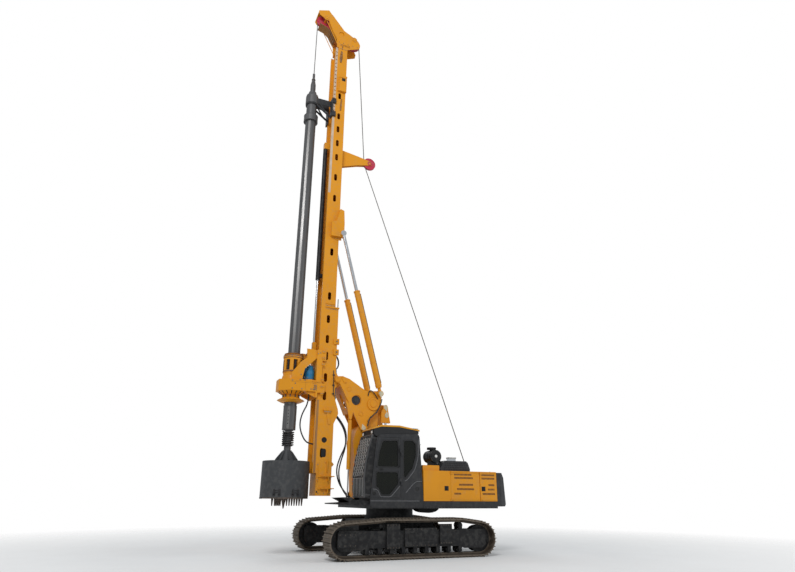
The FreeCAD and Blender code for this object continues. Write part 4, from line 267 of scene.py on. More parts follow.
ROPE = metal("steel_rope", (0.23, 0.225, 0.215), (0.11, 0.107, 0.1), 0.5, (1.0, 1.0, 1.0), 0.1, 0.5)
TRACK = track_material()
GLASS = glass_material()
SEAT = plain("seat_cloth", (0.03, 0.03, 0.034), 0.8, grain=260.0, depth=0.0006)
RUBBER = plain("black_rubber", (0.018, 0.018, 0.019), 0.5)
SEAL = plain("window_seal", (0.01, 0.01, 0.011), 0.6)
# Near-black for thin discs and boxes that stand in for holes and slots: painted shade.
HOLE_SHADE = plain("hole_shade", (0.006, 0.006, 0.006), 0.7)
LOUVRE = plain("louvre_shade", (0.15, 0.058, 0.008), 0.55)
# Darker yellow: real weathering on the mast's side marks and rail smears, and painted shade on the mast
# head's underside.
WEATHERED_AND_SHADE = paint("weathered_and_shaded_yellow", (0.3, 0.12, 0.018), (0.2, 0.075, 0.012), (0.4, 0.165, 0.025), 0.55,
                  (0.06, 0.03, 0.012), 0.55, 0.3)
WORN_FACE = plain("worn_slide_face", (0.56, 0.44, 0.34), 0.45, vary=0.12)
PALE = plain("pale_enamel", (0.48, 0.47, 0.43), 0.4, depth=0.0001, vary=0.05)
SEAM = plain("casting_seam", (0.3, 0.13, 0.012), 0.6)
SCREEN = plain("screen_glass", (0.02, 0.045, 0.06), 0.1, depth=0.0001)
LAMP = plain("lamp_glass", (0.72, 0.72, 0.69), 0.15, depth=0.0001, vary=0.05)
ORANGE = plain("orange_lens", (0.8, 0.22, 0.02), 0.25, depth=0.0001)
CREAM = paint("cream_paint", (0.64, 0.6, 0.43), (0.56, 0.52, 0.37), (0.7, 0.66, 0.5), 0.42, grime=0.12,
    streak=0.06)

# The looks that stand for each of the record's slots. The CAD's nodes take the first.
SLOTS = {"yellow_paint": (YELLOW, CREAM, SEAM), "dark_grey_paint": (GREY, HIGHLIGHT_GREY), "black_paint": (BLACK,
    HOLE_SHADE, LOUVRE), "worn_steel": (TRACK, TOOTH, BOLT_DARK, ROPE, WORN_FACE, WEATHERED_AND_SHADE, RUSTY,
    RUST_ORANGE), "bare_steel": (KELLY, KELLY_LIGHT, BARE_MESH, BRIGHT_BOLT, PIPE_GREY, DARK_FLANGE,
    BUCKET_DARK, DARK_SPRING), "chrome_rod": (CHROME, LAMP, PALE), "sheave_red": (RED, RED_LENS),
    "cab_glazing": (GLASS, SCREEN), "amber_guard": (AMBER, ORANGE), "motor_blue": (BLUE,),
    "seat_fabric": (SEAT,), "hose_rubber": (RUBBER, SEAL),}
OWN_LOOK = {"bucket": BUCKET, "bucket_gate": TOOTH, "slew_ring": BLACK, "running_wheels_left": BLACK,
            "running_wheels_right": BLACK, "engine_block": BLACK, "cab_front_guard": GUARD}


def slot_of(look):
    return next(slot for slot, looks in SLOTS.items() if look in looks)


def dress_nodes():
    slots = {part["node"]: part["material_slot"] for part in frame["record"]["subparts"]}
    for name, node in frame["nodes"].items():
        node.data.materials.clear()
        node.data.materials.append(OWN_LOOK.get(name, SLOTS[slots[name]][0]))


# ---------------------------------------------------------------- light and floor
WORLD_LIGHT = 0.50
LAMPS = (("key", (13.0, 20.0, 22.0), (0.0, 0.0, 6.0), 3000.0, 9.0),
         ("fill", (-16.0, 14.0, 12.0), (0.0, 0.0, 5.0), 700.0, 12.0),
         ("back", (2.0, -18.0, 20.0), (0.0, 0.0, 8.0), 900.0, 12.0))
FLOOR_HALF, FADE_START, FADE_END = 60.0, 7.0, 20.0


def make_world():
    """White to the camera, and a soft pale blue light to all else."""
    world = bpy.data.worlds.new("studio")
    bpy.context.scene.world = world
    graph = Graph(world)
    out = graph.add("OutputWorld")
    shown = graph.add("Background", {"Color": (1.0, 1.0, 1.0, 1.0)})
    lit = graph.add("Background", {"Color": (0.93, 0.97, 1.0, 1.0), "Strength": WORLD_LIGHT})
    path = graph.add("LightPath")
    either = graph.add("Math", operation="MAXIMUM")
    graph.link((path, "Is Camera Ray"), either, 0)
    graph.link((path, "Is Transmission Ray"), either, 1)
    mix = graph.add("MixShader")
    for socket, source in enumerate((either, lit, shown)):
        graph.link((source, 0), mix, socket)
    graph.link((mix, 0), out, "Surface")


def make_lamps():
    for name, place, aim, power, size in LAMPS:
        data = bpy.data.lights.new(name, "AREA")
        data.shape, data.energy, data.size = "DISK", power, size
        lamp = add_object(name, data)
        lamp.location = place
        lamp.rotation_mode = "QUATERNION"
        lamp.rotation_quaternion = (Vector(aim) - Vector(place)).to_track_quat("-Z", "Y")


def make_floor():
    """A pale floor that fades away round the rig."""
    shape = bmesh.new()
    bmesh.ops.create_grid(shape, x_segments=1, y_segments=1, size=FLOOR_HALF)
    mesh = bpy.data.meshes.new("floor")
    shape.to_mesh(mesh)
    shape.free()
    look = Look("pale_floor")
    tone = look.mix(look.band(look.noise(0.6, 4.0), 0.3, 0.7), (0.86, 0.86, 0.86), (0.89, 0.89, 0.89))
    look.finish(tone, look.band(look.noise(2.0, 4.0), 0.3, 0.7, 0.80, 0.90))
    far = look.add("VectorMath", operation="LENGTH")
    look.link((look.coords, "Object"), far, "Vector")
    fade = look.band((far, "Value"), FADE_START, FADE_END)
    clear = look.add("BsdfTransparent")
    blend = look.add("MixShader")
    for socket, source in enumerate((fade, (look.shader, "BSDF"), (clear, "BSDF"))):
        look.link(source, blend, socket)
    look.link((blend, "Shader"), look.out, "Surface")
    add_object("floor", mesh, look.material)


# ---------------------------------------------------------------- shapes
slew_low, slew_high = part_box("slew_ring")
RIG_X = (slew_low.x + slew_high.x) / 2.0
SOFT_EDGE = 60.0


def at(x, y, z):
    """A place in the frame, from one measured from the slewing axis at ground level."""
    return Vector((RIG_X + x, y, z))


def across(side, point):
    return Vector((point[0], side * point[1], point[2]))


def row(start, step, count):
    return [start + index * step for index in range(count)]


def circle(centre, radius, count, turn=0.0, upright=False):
    """Places round a centre, level or upright."""
    x, y, z = centre
    angles = [turn + math.tau * index / count for index in range(count)]
    if upright:
        return [(x + radius * math.cos(angle), y, z + radius * math.sin(angle)) for angle in angles]
    return [(x + radius * math.cos(angle), y + radius * math.sin(angle), z) for angle in angles]


def coil(x, y, radius, low, high, turns, per_turn):
    """The places along an upright coil."""
    steps = turns * per_turn
    return [(x + radius * math.cos(math.tau * i / per_turn), y + radius * math.sin(math.tau * i / per_turn),
             low + (high - low) * i / steps) for i in range(steps + 1)]


def oblong(x_low, x_high, z_low, z_high, radius):
    return rounded([(x_low, z_low), (x_high, z_low), (x_high, z_high), (x_low, z_high)], radius)


class Kit:
    """Gathers small fittings of one finish, on one body, into one mesh, which finish_kits makes."""
    sides = (1.0,)
    unmade = []

    def __init__(self, body, name, look, bevel=0.0, smooth=38.0, slot=None):
        self.body, self.name, self.look, self.bevel, self.smooth = body, name, look, bevel, smooth
        self.slot = slot or slot_of(look)
        self.shape = bmesh.new()
        self.unmade.append(self)

    def box(self, low, high, turn=None):
        """A block between two corners, turned about its middle if asked."""
        size = Matrix.Diagonal((*(abs(b - a) for a, b in zip(low, high)), 1.0))
        spin = Matrix.Identity(4) if turn is None else Matrix.Rotation(turn[0], 4, turn[1])
        for side in self.sides:
            middle = across(side, (Vector(low) + Vector(high)) / 2.0)
            bmesh.ops.create_cube(self.shape, size=1.0, matrix=Matrix.Translation(middle) @ spin @ size)

    def rod(self, start, end, radius, sides=16, tip=None):
        """A round or tapered rod."""
        for side in self.sides:
            first, last = across(side, start), across(side, end)
            way = last - first
            turn = way.to_track_quat("Z", "Y").to_matrix().to_4x4()
            bmesh.ops.create_cone(self.shape, cap_ends=True, segments=sides, radius1=radius,
                                  radius2=radius if tip is None else tip, depth=way.length,
                                  matrix=Matrix.Translation((first + last) / 2.0) @ turn)

    def stub(self, place, way, depth, radius, sides=16, tip=None):
        """A rod that stands on a place."""
        self.rod(place, Vector(place) + Vector(way) * depth, radius, sides, tip)

    def bolts(self, places, way, size):
        """Hexagon heads on washers."""
        way = Vector(way).normalized()
        for place in places:
            place = Vector(place)
            self.rod(place, place + way * size * 0.25, size * 1.25, 14)
            self.rod(place + way * size * 0.2, place + way * size * 0.95, size, 6)

    def ring(self, centre, way, outer, inner, depth, sides=40):
        """A flat ring standing on a face."""
        for side in self.sides:
            rise_way = across(side, way).normalized()
            turn = rise_way.to_track_quat("Z", "Y")
            loops = []
            for radius, rise in ((inner, 0.0), (outer, 0.0), (outer, depth), (inner, depth)):
                base = across(side, centre) + rise_way * rise
                loops.append([self.shape.verts.new(base + turn @ Vector(spot))
                              for spot in circle((0.0, 0.0, 0.0), radius, sides)])
            self.join(loops + loops[:1])

    def join(self, loops):
        """Faces between each closed loop of points and the next."""
        for first, second in zip(loops, loops[1:]):
            for i in range(len(first)):
                k = (i + 1) % len(first)
                self.shape.faces.new((first[i], first[k], second[k], second[i]))

    def pipe(self, points, radius, sides=8, start_side=None):
        """A bent pipe through points."""
        for mirror in self.sides:
            spots = [across(mirror, p) for p in points]
            loops, side = [], start_side
            for i, spot in enumerate(spots):
                ahead = (spots[min(i + 1, len(spots) - 1)] - spots[max(i - 1, 0)]).normalized()
                side = ahead.orthogonal().normalized() if side is None else side
                side = (side - ahead * side.dot(ahead)).normalized()
                other = ahead.cross(side)
                loops.append([self.shape.verts.new(spot + side * x + other * y)
                              for x, y, z in circle((0.0, 0.0, 0.0), radius, sides)])
            self.join(loops)
            self.shape.faces.new(list(reversed(loops[0])))
            self.shape.faces.new(loops[-1])

    def bend(self, points, radius, sides=8):
        """A pipe with its bends rounded."""
        self.pipe(smooth_line(points), radius, sides)

    def plate(self, outline, low, high):
        """A plate from an (x, z) outline, between two places in y."""
        for side in self.sides:
            near, far = ([self.shape.verts.new((x, side * y, z)) for x, z in outline] for y in (low, high))
            self.join([near, far])
            self.shape.faces.new(near)
            self.shape.faces.new(list(reversed(far)))

    def frame(self, outline, inner, outer, radius, low, high):
        """A band round an (x, z) outline, from one inset to another, with rounded corners."""
        near = rounded(inset(outline, inner), radius)
        wide = rounded(inset(outline, outer), radius + inner - outer)
        loops = [[self.shape.verts.new((x, y, z)) for x, z in ring]
                 for ring, y in ((near, low), (wide, low), (wide, high), (near, high))]
        self.join(loops + loops[:1])

    def piece(self):
        self.unmade.remove(self)
        bmesh.ops.recalc_face_normals(self.shape, faces=self.shape.faces[:])
        bmesh.ops.translate(self.shape, verts=self.shape.verts[:], vec=at(0.0, 0.0, 0.0))
        mesh = bpy.data.meshes.new(self.name)
        self.shape.to_mesh(mesh)
        self.shape.free()
        mesh.shade_smooth()
        mesh.set_sharp_from_angle(angle=math.radians(self.smooth))
        piece = add_object(self.name, mesh, self.look)
        if self.bevel > 0.0:
            modifier = piece.modifiers.new("bevel", "BEVEL")
            modifier.width, modifier.segments, modifier.limit_method = self.bevel, 2, "ANGLE"
        return piece


class Pair(Kit):
    """A kit that makes each shape on both sides of the rig."""
    sides = SIDES


def finish_kits():
    """Makes the kits that no call has made yet, and lets each ride its body."""
    for kit in list(Kit.unmade):
        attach(kit.piece(), kit.body)


def inset(outline, distance):
    """The outline drawn in by a distance, or out by a negative one."""
    double_area = sum(a[0] * b[1] - b[0] * a[1] for a, b in zip(outline, outline[1:] + outline[:1]))
    sign = math.copysign(1.0, double_area)
    moved = []
    for before, corner, after in zip(outline[-1:] + outline[:-1], outline, outline[1:] + outline[:1]):
        a = Vector((corner[0] - before[0], corner[1] - before[1])).normalized()
        b = Vector((after[0] - corner[0], after[1] - corner[1])).normalized()
        normal_a, normal_b = (Vector((-v.y, v.x)) * sign for v in (a, b))
        middle = (normal_a + normal_b).normalized()
        reach = distance / max(0.3, middle.dot(normal_a))
        moved.append((corner[0] + middle.x * reach, corner[1] + middle.y * reach))
    return moved


def rounded(outline, radius, steps=6):
    """The outline with every corner rounded."""
    points = []
    for before, corner, after in zip(outline[-1:] + outline[:-1], outline, outline[1:] + outline[:1]):
        spot = Vector(corner)
        back, ahead = Vector(before) - spot, Vector(after) - spot
        trim = min(radius / math.tan(back.angle(ahead) / 2.0), 0.45 * min(back.length, ahead.length))
        back, ahead = spot + back.normalized() * trim, spot + ahead.normalized() * trim
        for t in row(0.0, 1.0 / steps, steps + 1):
            points.append(tuple(back * (1 - t) ** 2 + spot * 2 * t * (1 - t) + ahead * t ** 2))
    return points


def smooth_line(points, steps=5):
    """A line with its inner corners rounded."""
    spots = [Vector(p) for p in points]
    line = [spots[0]]
    for before, corner, after in zip(spots, spots[1:], spots[2:]):
        start, end = corner.lerp(before, 0.35), corner.lerp(after, 0.35)
        for t in row(0.0, 1.0 / steps, steps + 1):
            line.append(start.lerp(corner, t).lerp(corner.lerp(end, t), t))
    return line + [spots[-1]]


# ---------------------------------------------------------------- ropes
ROPE_RADIUS = 0.016
WINCH = (-2.67, 2.06, 0.362)
DEFLECTOR = (1.0, 13.8, 0.21)
REAR_SHEAVE = (1.89, 19.42, 0.29)
FRONT_SHEAVE = (3.12, 20.1, 0.3)
KELLY_X, SWIVEL_TOP = 3.42, 17.34
WINCH_HALF = 0.31


def belt_run(first, second, turn_first, turn_second):
    """The straight run that touches two wheels (x, z, radius), each on the side given by its sign."""
    a, b = first[2] * turn_first, second[2] * turn_second
    way = Vector((second[0] - first[0], second[1] - first[1]))
    along = way.normalized()
    lean = (a - b) / way.length
    normal = along * lean + Vector((-along.y, along.x)) * math.sqrt(1.0 - lean * lean)
    return [(first[0] + normal.x * a, first[1] + normal.y * a), (second[0] + normal.x * b,
        second[1] + normal.y * b)]


def wrap(wheel, start, end, steps=14):
    """Points round a wheel, between one point on it and another, the short way."""
    first = math.atan2(start[1] - wheel[1], start[0] - wheel[0])
    sweep = (math.atan2(end[1] - wheel[1], end[0] - wheel[0]) - first + math.pi) % math.tau - math.pi
    return [(wheel[0] + wheel[2] * math.cos(first + sweep * i / steps),
             wheel[1] + wheel[2] * math.sin(first + sweep * i / steps)) for i in range(1, steps)]


def make_ropes():
    winch_run = belt_run(WINCH, DEFLECTOR, 1.0, -1.0)
    upper_run = belt_run(DEFLECTOR, REAR_SHEAVE, -1.0, 1.0)
    head_run = belt_run(REAR_SHEAVE, FRONT_SHEAVE, 1.0, 1.0)
    leave = (KELLY_X, FRONT_SHEAVE[1])
    path = winch_run + wrap(DEFLECTOR, winch_run[1], upper_run[0]) + upper_run
    path += wrap(REAR_SHEAVE, upper_run[1], head_run[0]) + head_run + wrap(FRONT_SHEAVE, head_run[1],
        leave) + [leave]
    Kit("mast", "main_rope", ROPE, smooth=SOFT_EDGE).pipe([(x, 0.0, z) for x, z in path], ROPE_RADIUS, 12)
    finish_kits()

    top, drop, rows = FRONT_SHEAVE[1], FRONT_SHEAVE[1] - SWIVEL_TOP, 60
    rope = Kit("mast", "kelly_rope", ROPE, smooth=180.0)
    rope.pipe([(KELLY_X, 0.0, z) for z in row(top, -drop / rows, rows + 1)], ROPE_RADIUS, 12,
        Vector((1.0, 0.0, 0.0)))
    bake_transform(rope.piece())

    Kit("winch", "winch_rope", ROPE, smooth=SOFT_EDGE).pipe([(x, y, z) for x, z, y in coil(*WINCH,
        -WINCH_HALF, WINCH_HALF, 19, 40)], ROPE_RADIUS * 0.95)
    socket = Kit("kelly_inner_bar", "rope_socket", TOOTH, 0.004)
    socket.stub((KELLY_X, 0.0, SWIVEL_TOP - 0.16), UP, 0.15, 0.046, 20, 0.028)
    for depth, radius in ((0.52, 0.093), (0.30, 0.075)):
        socket.ring((KELLY_X, 0.0, SWIVEL_TOP - depth), UP, radius, 0.04, 0.03)
    finish_kits()


# ---------------------------------------------------------------- hoses
HOSE_RADIUS = 0.022
HOSE_START = (1.333, 1.511)
HOSE_END = (1.963, 4.083)
OUTER_HOSE = (HOSE_START, (1.565, 1.743), (1.8, 2.04), (1.885, 2.43), (1.77, 2.8), (1.6, 3.14), (1.58, 3.54),
              (1.77, 3.89), HOSE_END)
INNER_HOSE = (HOSE_START, (1.545, 1.723), (1.715, 2.03), (1.77, 2.4), (1.68, 2.76), (1.56, 3.11), (1.57, 3.5),
              (1.745, 3.865), HOSE_END)
DRIVE_HOSE = ((2.9, 4.69), (2.9, 4.39), (3.075, 4.07), (3.14, 3.72), (3.04, 3.39), (2.85, 3.15), (2.61, 3.15))


def hose_curve(name, points):
    """A smooth curve through control points."""
    curve = bpy.data.curves.new(name, "CURVE")
    curve.dimensions = "3D"
    spline = curve.splines.new("NURBS")
    spline.points.add(len(points) - 1)
    for control, point in zip(spline.points, points):
        control.co = (*point, 1.0)
    spline.order_u, spline.use_endpoint_u, spline.resolution_u = 3, True, 12
    return curve


def thicken(curve):
    curve.bevel_depth, curve.bevel_resolution, curve.use_fill_caps = HOSE_RADIUS, 5, True


def declare_hose(piece, node, start, length, **more):
    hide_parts(node)


def make_hoses():
    for node, route, y, length in (("mast_hose_outer", OUTER_HOSE, 0.18, 2.915),
                                   ("mast_hose_inner", INNER_HOSE, 0.06, 2.848)):
        points = [at(x, y, z) for x, z in route]
        curve = hose_curve(node + "_rubber", points)
        thicken(curve)
        piece = add_object(curve.name, curve, RUBBER)
        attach(piece, "upper_structure")
        declare_hose(piece, node, points[0], length)

    points = [at(x, 0.2, z) for x, z in DRIVE_HOSE]
    curve = hose_curve("drive_hose_route", points)
    holder = bpy.data.objects.new(curve.name, curve)
    line = [vertex.co.copy() for vertex in bpy.data.meshes.new_from_object(holder).vertices]
    thicken(curve)
    mesh = bpy.data.meshes.new_from_object(holder)
    bpy.data.objects.remove(holder)
    mesh.name = "drive_hose_rubber"
    mesh.shade_smooth()
    mesh.materials.clear()
    piece = add_object(mesh.name, mesh, RUBBER)
    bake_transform(piece)
    declare_hose(piece, "drive_hose", points[0], 1.879, path=line)


# ---------------------------------------------------------------- house
HOUSE_SIDE = 1.5
HOUSE_SKIN = 1.5035
HOUSE = "upper_structure"
LOUVRE_ROWS = (("front_", ((-1.548, -2.18, 2.3), (-1.56, -2.226, 2.2), (-1.719, -2.222, 2.002),
    (-1.643, -2.252, 1.872), (-1.543, -1.79, 1.738))), ("rear_", ((-2.54, -3.03, 2.3), (-2.54, -3.02, 2.196),
    (-2.79, -3.01, 2.002), (-2.76, -3.01, 1.87), (-2.56, -3.02, 1.736))))
LOUVRE_PITCH = 0.047
HOOD_PITCH = 0.062
HOOD_SIDE, HOOD_TOP = 1.4015, 2.7085
CLEANER = (-1.02, 1.33, 2.84)
STACK_LOW, STACK_HIGH = (-1.862, 0.928), (-1.588, 1.112)


def louvres(kit, side, start, end, z):
    """A row of short slots in the door's skin, each turned a little."""
    skin = side * HOUSE_SIDE
    count = max(2, round(abs(end - start) / LOUVRE_PITCH))
    step = (end - start) / count
    for x in row(start + step / 2, step, count):
        kit.box((x - 0.018, skin - side * 0.002, z - 0.03), (x + 0.018, skin + side * 0.0025, z + 0.026),
                (0.25 * side, "Y"))


def make_doors():
    for side, name in zip(SIDES, ("left", "right")):
        for label, rows in LOUVRE_ROWS:
            body = label + name + "_door"
            slots = Kit(body, "louvres_" + body, LOUVRE)
            hoods = Kit(body, "louvre_hoods_" + body, YELLOW, 0.0015)
            for start, end, z in rows:
                louvres(slots, side, start, end, z)
                low, high = sorted((start, end))
                hoods.box((low - 0.004, side * 1.498, z + 0.026), (high + 0.004, side * 1.506, z + 0.034))
        for body, x, z in ((HOUSE, -1.279, 1.888), ("rear_" + name + "_door", -2.6, 1.884)):
            latch = Kit(body, "latch_" + body + "_" + name, BLACK, 0.004)
            latch.box((x - 0.07, side * 1.495, z - 0.068), (x + 0.07, side * 1.506, z + 0.068))
            latch.box((x - 0.02, side * HOUSE_SIDE, z - 0.045), (x + 0.02, side * 1.516, z + 0.03))
            latch.stub((x, side * HOUSE_SIDE, z + 0.048), across(side, OUT), 0.012, 0.012)


def make_house():
    skirt = Pair(HOUSE, "house_skirt", GREY, 0.006)
    skirt.plate([(-0.489, 1.5), (-3.095, 1.5), (-3.095, 1.33), (-3.06, 1.312), (-0.489, 1.312)], 1.4995,
        HOUSE_SKIN)
    skirt.sides = SIDES[:1]
    skirt.plate([(1.236, 1.512), (-0.48, 1.512), (-0.48, 1.33), (1.15, 1.33), (1.236, 1.4)], 1.4995,
        HOUSE_SKIN)

    # The hood's holes are thin near-black discs on its skin: painted shade.
    hood = Kit(HOUSE, "hood_holes", HOLE_SHADE)
    for index in range(4):
        z = 2.45 + index * HOOD_PITCH
        start, end = -2.11 + 0.012 * index, -1.2 - 0.03 * index
        for x in row(start + HOOD_PITCH * (0.5 + 0.5 * (index % 2)), HOOD_PITCH,
                int((end - start) / HOOD_PITCH)):
            if x < end:
                hood.stub((x, HOOD_SIDE - 0.003, z), OUT, 0.0035, 0.022, 6)
    for index, y in enumerate(row(0.74, 0.11, 6)):
        for x in row(-2.0 + 0.05 * (index % 2), 0.1, 7):
            if not -1.88 < x < -1.57:
                hood.stub((x, y, HOOD_TOP), UP, 0.002, 0.024, 6)
    rim = Kit(HOUSE, "hood_rails", BLACK, 0.003)
    for x in (-2.03, -1.64, -1.32):
        rim.box((x - 0.012, 0.66, 2.702), (x + 0.012, 1.39, 2.714))

    stack = Kit(HOUSE, "stack_rim", PALE, 0.002)
    (x_low, y_low), (x_high, y_high), wall = STACK_LOW, STACK_HIGH, 0.014
    for y in (y_low, y_high - wall):
        stack.box((x_low, y, 2.8), (x_high, y + wall, 2.838))
    for x in (x_low, x_high - wall):
        stack.box((x, y_low, 2.8), (x + wall, y_high, 2.838))

    cleaner = Kit(HOUSE, "air_cleaner_bands", BLACK, 0.003)
    x, end, z = CLEANER
    for y in (0.86, 1.05, 1.24):
        cleaner.ring((x, y, z), OUT, 0.197, 0.185, 0.03)
    cleaner.ring(CLEANER, OUT, 0.15, 0.06, 0.012)
    for place in circle((-1.0, 1.055, 3.054), 0.141, 10):
        cleaner.stub(place, UP, 0.058, 0.008, 8)
    Kit(HOUSE, "air_cleaner_button", LAMP, 0.002).stub((x, end - 0.002, z), OUT, 0.022, 0.048, 24, 0.04)
    Kit(HOUSE, "intake_hose", RUBBER, smooth=SOFT_EDGE).pipe([(x, 0.96, z) for x, z in ((-1.19, 2.84),
        (-1.235, 2.838), (-1.275, 2.815), (-1.3, 2.77), (-1.31, 2.7), (-1.31, 2.6))], 0.052, 16)

    tail = Kit(HOUSE, "counterweight_fittings", GREY, 0.006)
    for y in (-0.95, 0.95):
        tail.box((-3.26, y - 0.025, 2.37), (-3.15, y + 0.025, 2.376))
        tail.ring((-3.205, y - 0.012, 2.392), OUT, 0.042, 0.022, 0.024, 28)
    Pair(HOUSE, "tail_lamps", RED_LENS, 0.004).box((-3.475, 1.01, 1.9), (-3.462, 1.19, 1.98))
    Kit(HOUSE, "deck_bolts", BLACK).bolts([(x, HOUSE_SKIN, 1.352) for x in row(-0.56, -0.115, 22)], OUT, 0.01)

    rails = Kit(HOUSE, "walkway_rails", BLACK, smooth=SOFT_EDGE)
    for x in (-0.44, 0.25, 0.7):
        rails.rod((x, -1.46, 2.175), (x, -1.46, 2.56), 0.016, 12)
    for z, radius in ((2.56, 0.017), (2.37, 0.013)):
        rails.rod((-0.456, -1.46, z), (0.716, -1.46, z), radius, 12)
    filler = Kit(HOUSE, "tank_caps", BLACK, 0.004)
    filler.stub((0.45, -1.2, 2.178), UP, 0.047, 0.07, 24, 0.062)
    filler.stub((0.1, -0.8, 2.178), UP, 0.034, 0.09, 24, 0.084)
    filler.bolts(circle((0.1, -0.8, 2.212), 0.07, 6), UP, 0.008)


# ---------------------------------------------------------------- cab
DOOR_HIND = 0.262
UPPER_PANE = [(DOOR_HIND + 0.07, 2.45), (1.06, 2.45), (0.99, 2.9), (0.88, 3.24), (DOOR_HIND + 0.08, 3.27)]
LOWER_PANE = [(DOOR_HIND + 0.07, 2.35), (1.08, 2.345), (1.08, 1.88), (1.01, 1.86), (0.89, 1.665),
    (0.61, 1.665), (DOOR_HIND + 0.07, 1.965)]
REAR_PANE = [(0.19, 3.27), (-0.13, 3.285), (-0.26, 3.17), (-0.26, 2.81), (-0.14, 2.43), (0.12, 2.13),
    (0.19, 2.19)]
# Where the light lines run along the cab's and the door's pressed edges: beads in lighter grey, a painted
# highlight.
HIGHLIGHT_LINES = (((-0.33, 3.28), (-0.322, 2.79), (-0.205, 2.4), (0.06, 2.105), (0.13, 2.08)),
               ((-0.43, 2.075), (-0.25, 2.072), (-0.12, 1.975), (0.1, 1.74)))
DOOR_HIGHLIGHT_LINE = ((1.16, 1.842), (1.03, 1.83), (0.985, 1.79), (0.915, 1.65), (0.88, 1.63), (0.61, 1.628),
                   (0.56, 1.65), (0.296, 1.93))
GUARD_CURVE = ((1.406, 1.618), (1.436, 2.15), (1.391, 2.6), (1.306, 3.0), (1.191, 3.39))
GUARD_LOW, GUARD_HIGH, GUARD_RIGHT, GUARD_LEFT, MESH_PITCH = 2.17, 3.33, 0.56, 1.44, 0.16
VENT = (-0.283, 1.5, 1.855)
VENT_RADIUS = 0.048


def guard_x(z):
    """Where the front guard's bars stand at a height."""
    for (x_low, z_low), (x_high, z_high) in zip(GUARD_CURVE, GUARD_CURVE[1:]):
        if z <= z_high:
            return x_low + (x_high - x_low) * (z - z_low) / (z_high - z_low)


def make_cab_shell():
    seals = Kit(HOUSE, "cab_window_seals", SEAL, 0.002)
    seals.frame(REAR_PANE, 0.03, -0.012, 0.055, 1.472, 1.5035)
    seals.frame(REAR_PANE, 0.03, -0.012, 0.055, 0.528, 0.4965)
    seals.frame(UPPER_PANE, 0.03, -0.012, 0.06, 0.528, 0.4965)
    seals = Kit("cab_entry_door", "cab_door_seals", SEAL, 0.002)
    for pane in (UPPER_PANE, LOWER_PANE):
        seals.frame(pane, 0.032, -0.012, 0.06, 1.48, 1.5035)

    # Lighter grey beads along the cab's pressed edges and along the sill: painted highlight.
    lines = Kit(HOUSE, "cab_highlight_lines", HIGHLIGHT_GREY, smooth=70.0)
    for line in HIGHLIGHT_LINES:
        lines.bend([(x, 1.4995, z) for x, z in line], 0.008)
    lines.pipe([(x, 1.503, 1.516) for x in (1.22, 0.5, -0.34)], 0.01)
    # Lighter grey bead along the door's pressed edge: painted highlight.
    Kit("cab_entry_door", "door_highlight_line", HIGHLIGHT_GREY, smooth=70.0).bend([(x, 1.4995, z)
        for x, z in DOOR_HIGHLIGHT_LINE], 0.008)

    handle = Kit("cab_entry_door", "door_handle", BLACK, 0.004)
    handle.box((0.835, 1.498, 2.385), (0.925, 1.512, 2.425))
    handle.box((0.85, 1.508, 2.392), (0.96, 1.526, 2.416))
    handle.ring((1.11, 1.5, 1.725), OUT, 0.052, 0.03, 0.008, 28)
    handle.stub((1.11, 1.498, 1.725), OUT, 0.006, 0.03, 20)
    handle.bend([(0.318, y, z) for y, z in ((1.5, 2.48), (1.548, 2.5), (1.548, 3.05), (1.5, 3.07))], 0.012,
        10)
    vent = Kit(HOUSE, "cab_vent", BLACK, 0.002)
    x, y, middle = VENT
    vent.ring(VENT, OUT, 0.06, VENT_RADIUS, 0.006, 28)
    for z in row(1.823, 0.016, 5):
        half = math.sqrt(max(0.0, VENT_RADIUS ** 2 - (z - middle) ** 2))
        vent.box((x - half, y - 0.002, z - 0.004), (x + half, y + 0.004, z + 0.004))
    vent.bolts(((-0.4, 1.5, 3.15), (-0.41, 1.5, 2.3), (-0.43, 1.5, 1.64)), OUT, 0.009)


